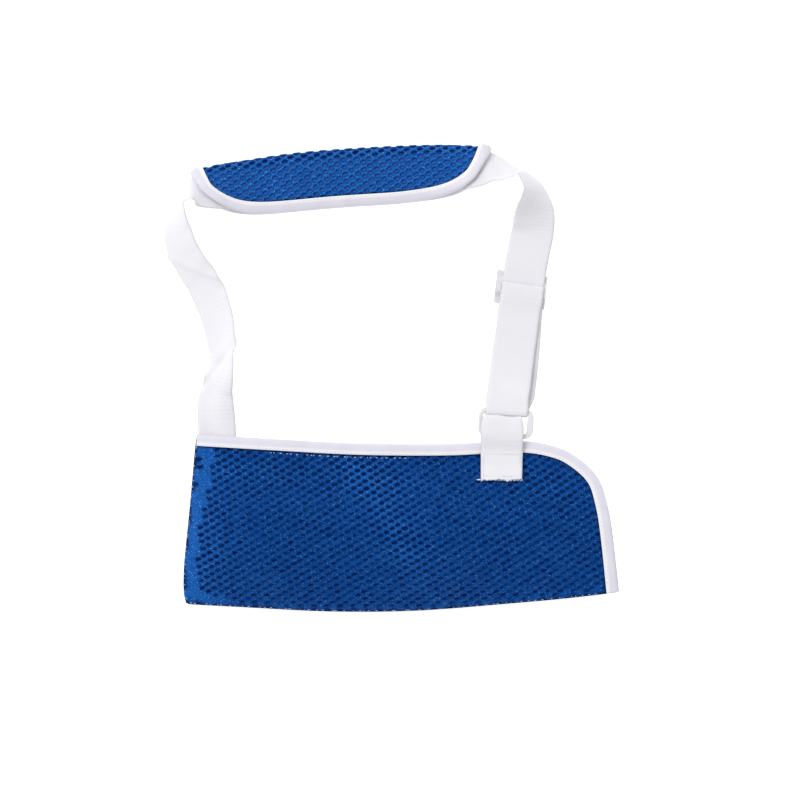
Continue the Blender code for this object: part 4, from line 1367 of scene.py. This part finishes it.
right = wrist_strap()
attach(right, "strap_loop")
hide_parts("neck_strap")

adjuster = adjuster_strap()
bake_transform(adjuster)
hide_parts("strap_return", "strap_end")

ring = swept_ring()
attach(ring, "strap_loop")
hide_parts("ring")

slider_piece = slider()
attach(slider_piece, "slider")
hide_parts("slider_frame")

cover = pad_cover()
pad_back_tape = pad_tape("pad_back_tape", -1)
pad_front_tape = pad_tape("pad_front_tape", 1)
pad_threads = [pad_stitches("pad_front_tape_stitches", 1), pad_stitches("pad_back_tape_stitches", -1)]
for piece, node, slot_name in (
    (cover, "pad_cover", "air_mesh"),
    (pad_back_tape, "pad_back_binding", "binding_tape"),
    (pad_front_tape, "pad_front_binding", "binding_tape"),
):
    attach(piece, "pad")
    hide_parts(node)
for piece in pad_threads:
    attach(piece, "pad")
pad_overlock_shadow_lines = [pad_overlock_shadow_line("pad_front_overlock_shadow_line", 1), pad_overlock_shadow_line("pad_back_overlock_shadow_line", -1)]
for piece in pad_overlock_shadow_lines:
    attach(piece, "pad")

# What the cloth pieces are: flat sizes before sewing, and what each lies on or goes round


def plan_area(loop):
    x, y = loop[:, 0], loop[:, 1]
    return abs(np.dot(x, np.roll(y, -1)) - np.dot(y, np.roll(x, -1))) / 2


def panel_cut(front):
    edge = FRONT_EDGE if front else BACK_EDGE
    loop = np.vstack([BOTTOM, edge[::-1], ELBOW[::-1][1:-1]])
    size = loop.max(axis=0) - loop.min(axis=0)
    return (float(size[1]) + PANEL_RISE, float(size[0])), plan_area(loop) * (1 + PANEL_RISE / float(size[1]))


PANEL_RISE = 0.008  # the cloth's extra length over the bulge
for piece, front, held_on, extras in (
    (front_mesh, True, back_mesh, (front_stitches, front_seam, overlock_shadow_lines[0], overlock_shadow_lines[2], specks)),
    (back_mesh, False, "floor", (back_stitches, back_seam, overlock_shadow_lines[1], overlock_shadow_lines[3])),
):
    flat, area = panel_cut(front)
    list(extras)
cover_area = 2 * (plan_area(PAD_EDGE) + ROLL * (PAD_EDGE[-1, 0] - PAD_EDGE[0, 0]))
for piece, held, lies_on in (
    (front_tape, "folded", [front_mesh]),
    (back_tape, "folded", [back_mesh]),
    (pad_front_tape, "folded", [cover]),
    (pad_back_tape, "folded", [cover]),
    (left, "laid", ["floor", front_tape, back_mesh]),
    (right, "laid", ["floor", cover]),
    (adjuster, "folded", [ring, slider_piece, right]),
    (tab, "folded", [ring, front_mesh, front_tape]),
):
    extras = [frays, tab_thread] if piece is tab else []
    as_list(lies_on)
    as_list(extras)

# Floor, light and camera

floor_mesh = bpy.data.meshes.new("floor")
reach = 4.0
corners = [(x * reach, y * reach, -0.0004) for x, y in ((-1, -1), (1, -1), (1, 1), (-1, 1))]
floor_mesh.from_pydata(corners, [], [(0, 1, 2, 3)])
floor = bpy.data.objects.new("floor", floor_mesh)
bpy.context.scene.collection.objects.link(floor)
paper = Finish("white_floor", (0.93, 0.93, 0.93), 0.95, specular=0.0)
paper.shader.inputs["Emission Color"].default_value = (1, 1, 1, 1)
paper.shader.inputs["Emission Strength"].default_value = 0.55
floor_mesh.materials.append(paper.material)

world = bpy.data.worlds.new("studio")
bpy.context.scene.world = world
world.use_nodes = True
world.node_tree.nodes["Background"].inputs["Color"].default_value = (1, 1, 1, 1)
world.node_tree.nodes["Background"].inputs["Strength"].default_value = 0.785
key = bpy.data.objects.new("key", bpy.data.lights.new("key", "SUN"))
key.data.energy = 1.42
key.data.angle = math.radians(30)
key.rotation_euler = (math.radians(-24), math.radians(-28), 0)
bpy.context.scene.collection.objects.link(key)

camera = bpy.data.objects.new("camera", bpy.data.cameras.new("camera"))
camera.data.sensor_width = 36
VIEW_WIDTH, DISTANCE = 0.720, 2.6
camera.data.lens = 36 * DISTANCE / VIEW_WIDTH
camera.data.clip_end = 20
camera.location = (0.0074, -0.0194, DISTANCE)
bpy.context.scene.collection.objects.link(camera)
bpy.context.scene.camera = camera
bpy.context.scene.view_settings.view_transform = "Standard"
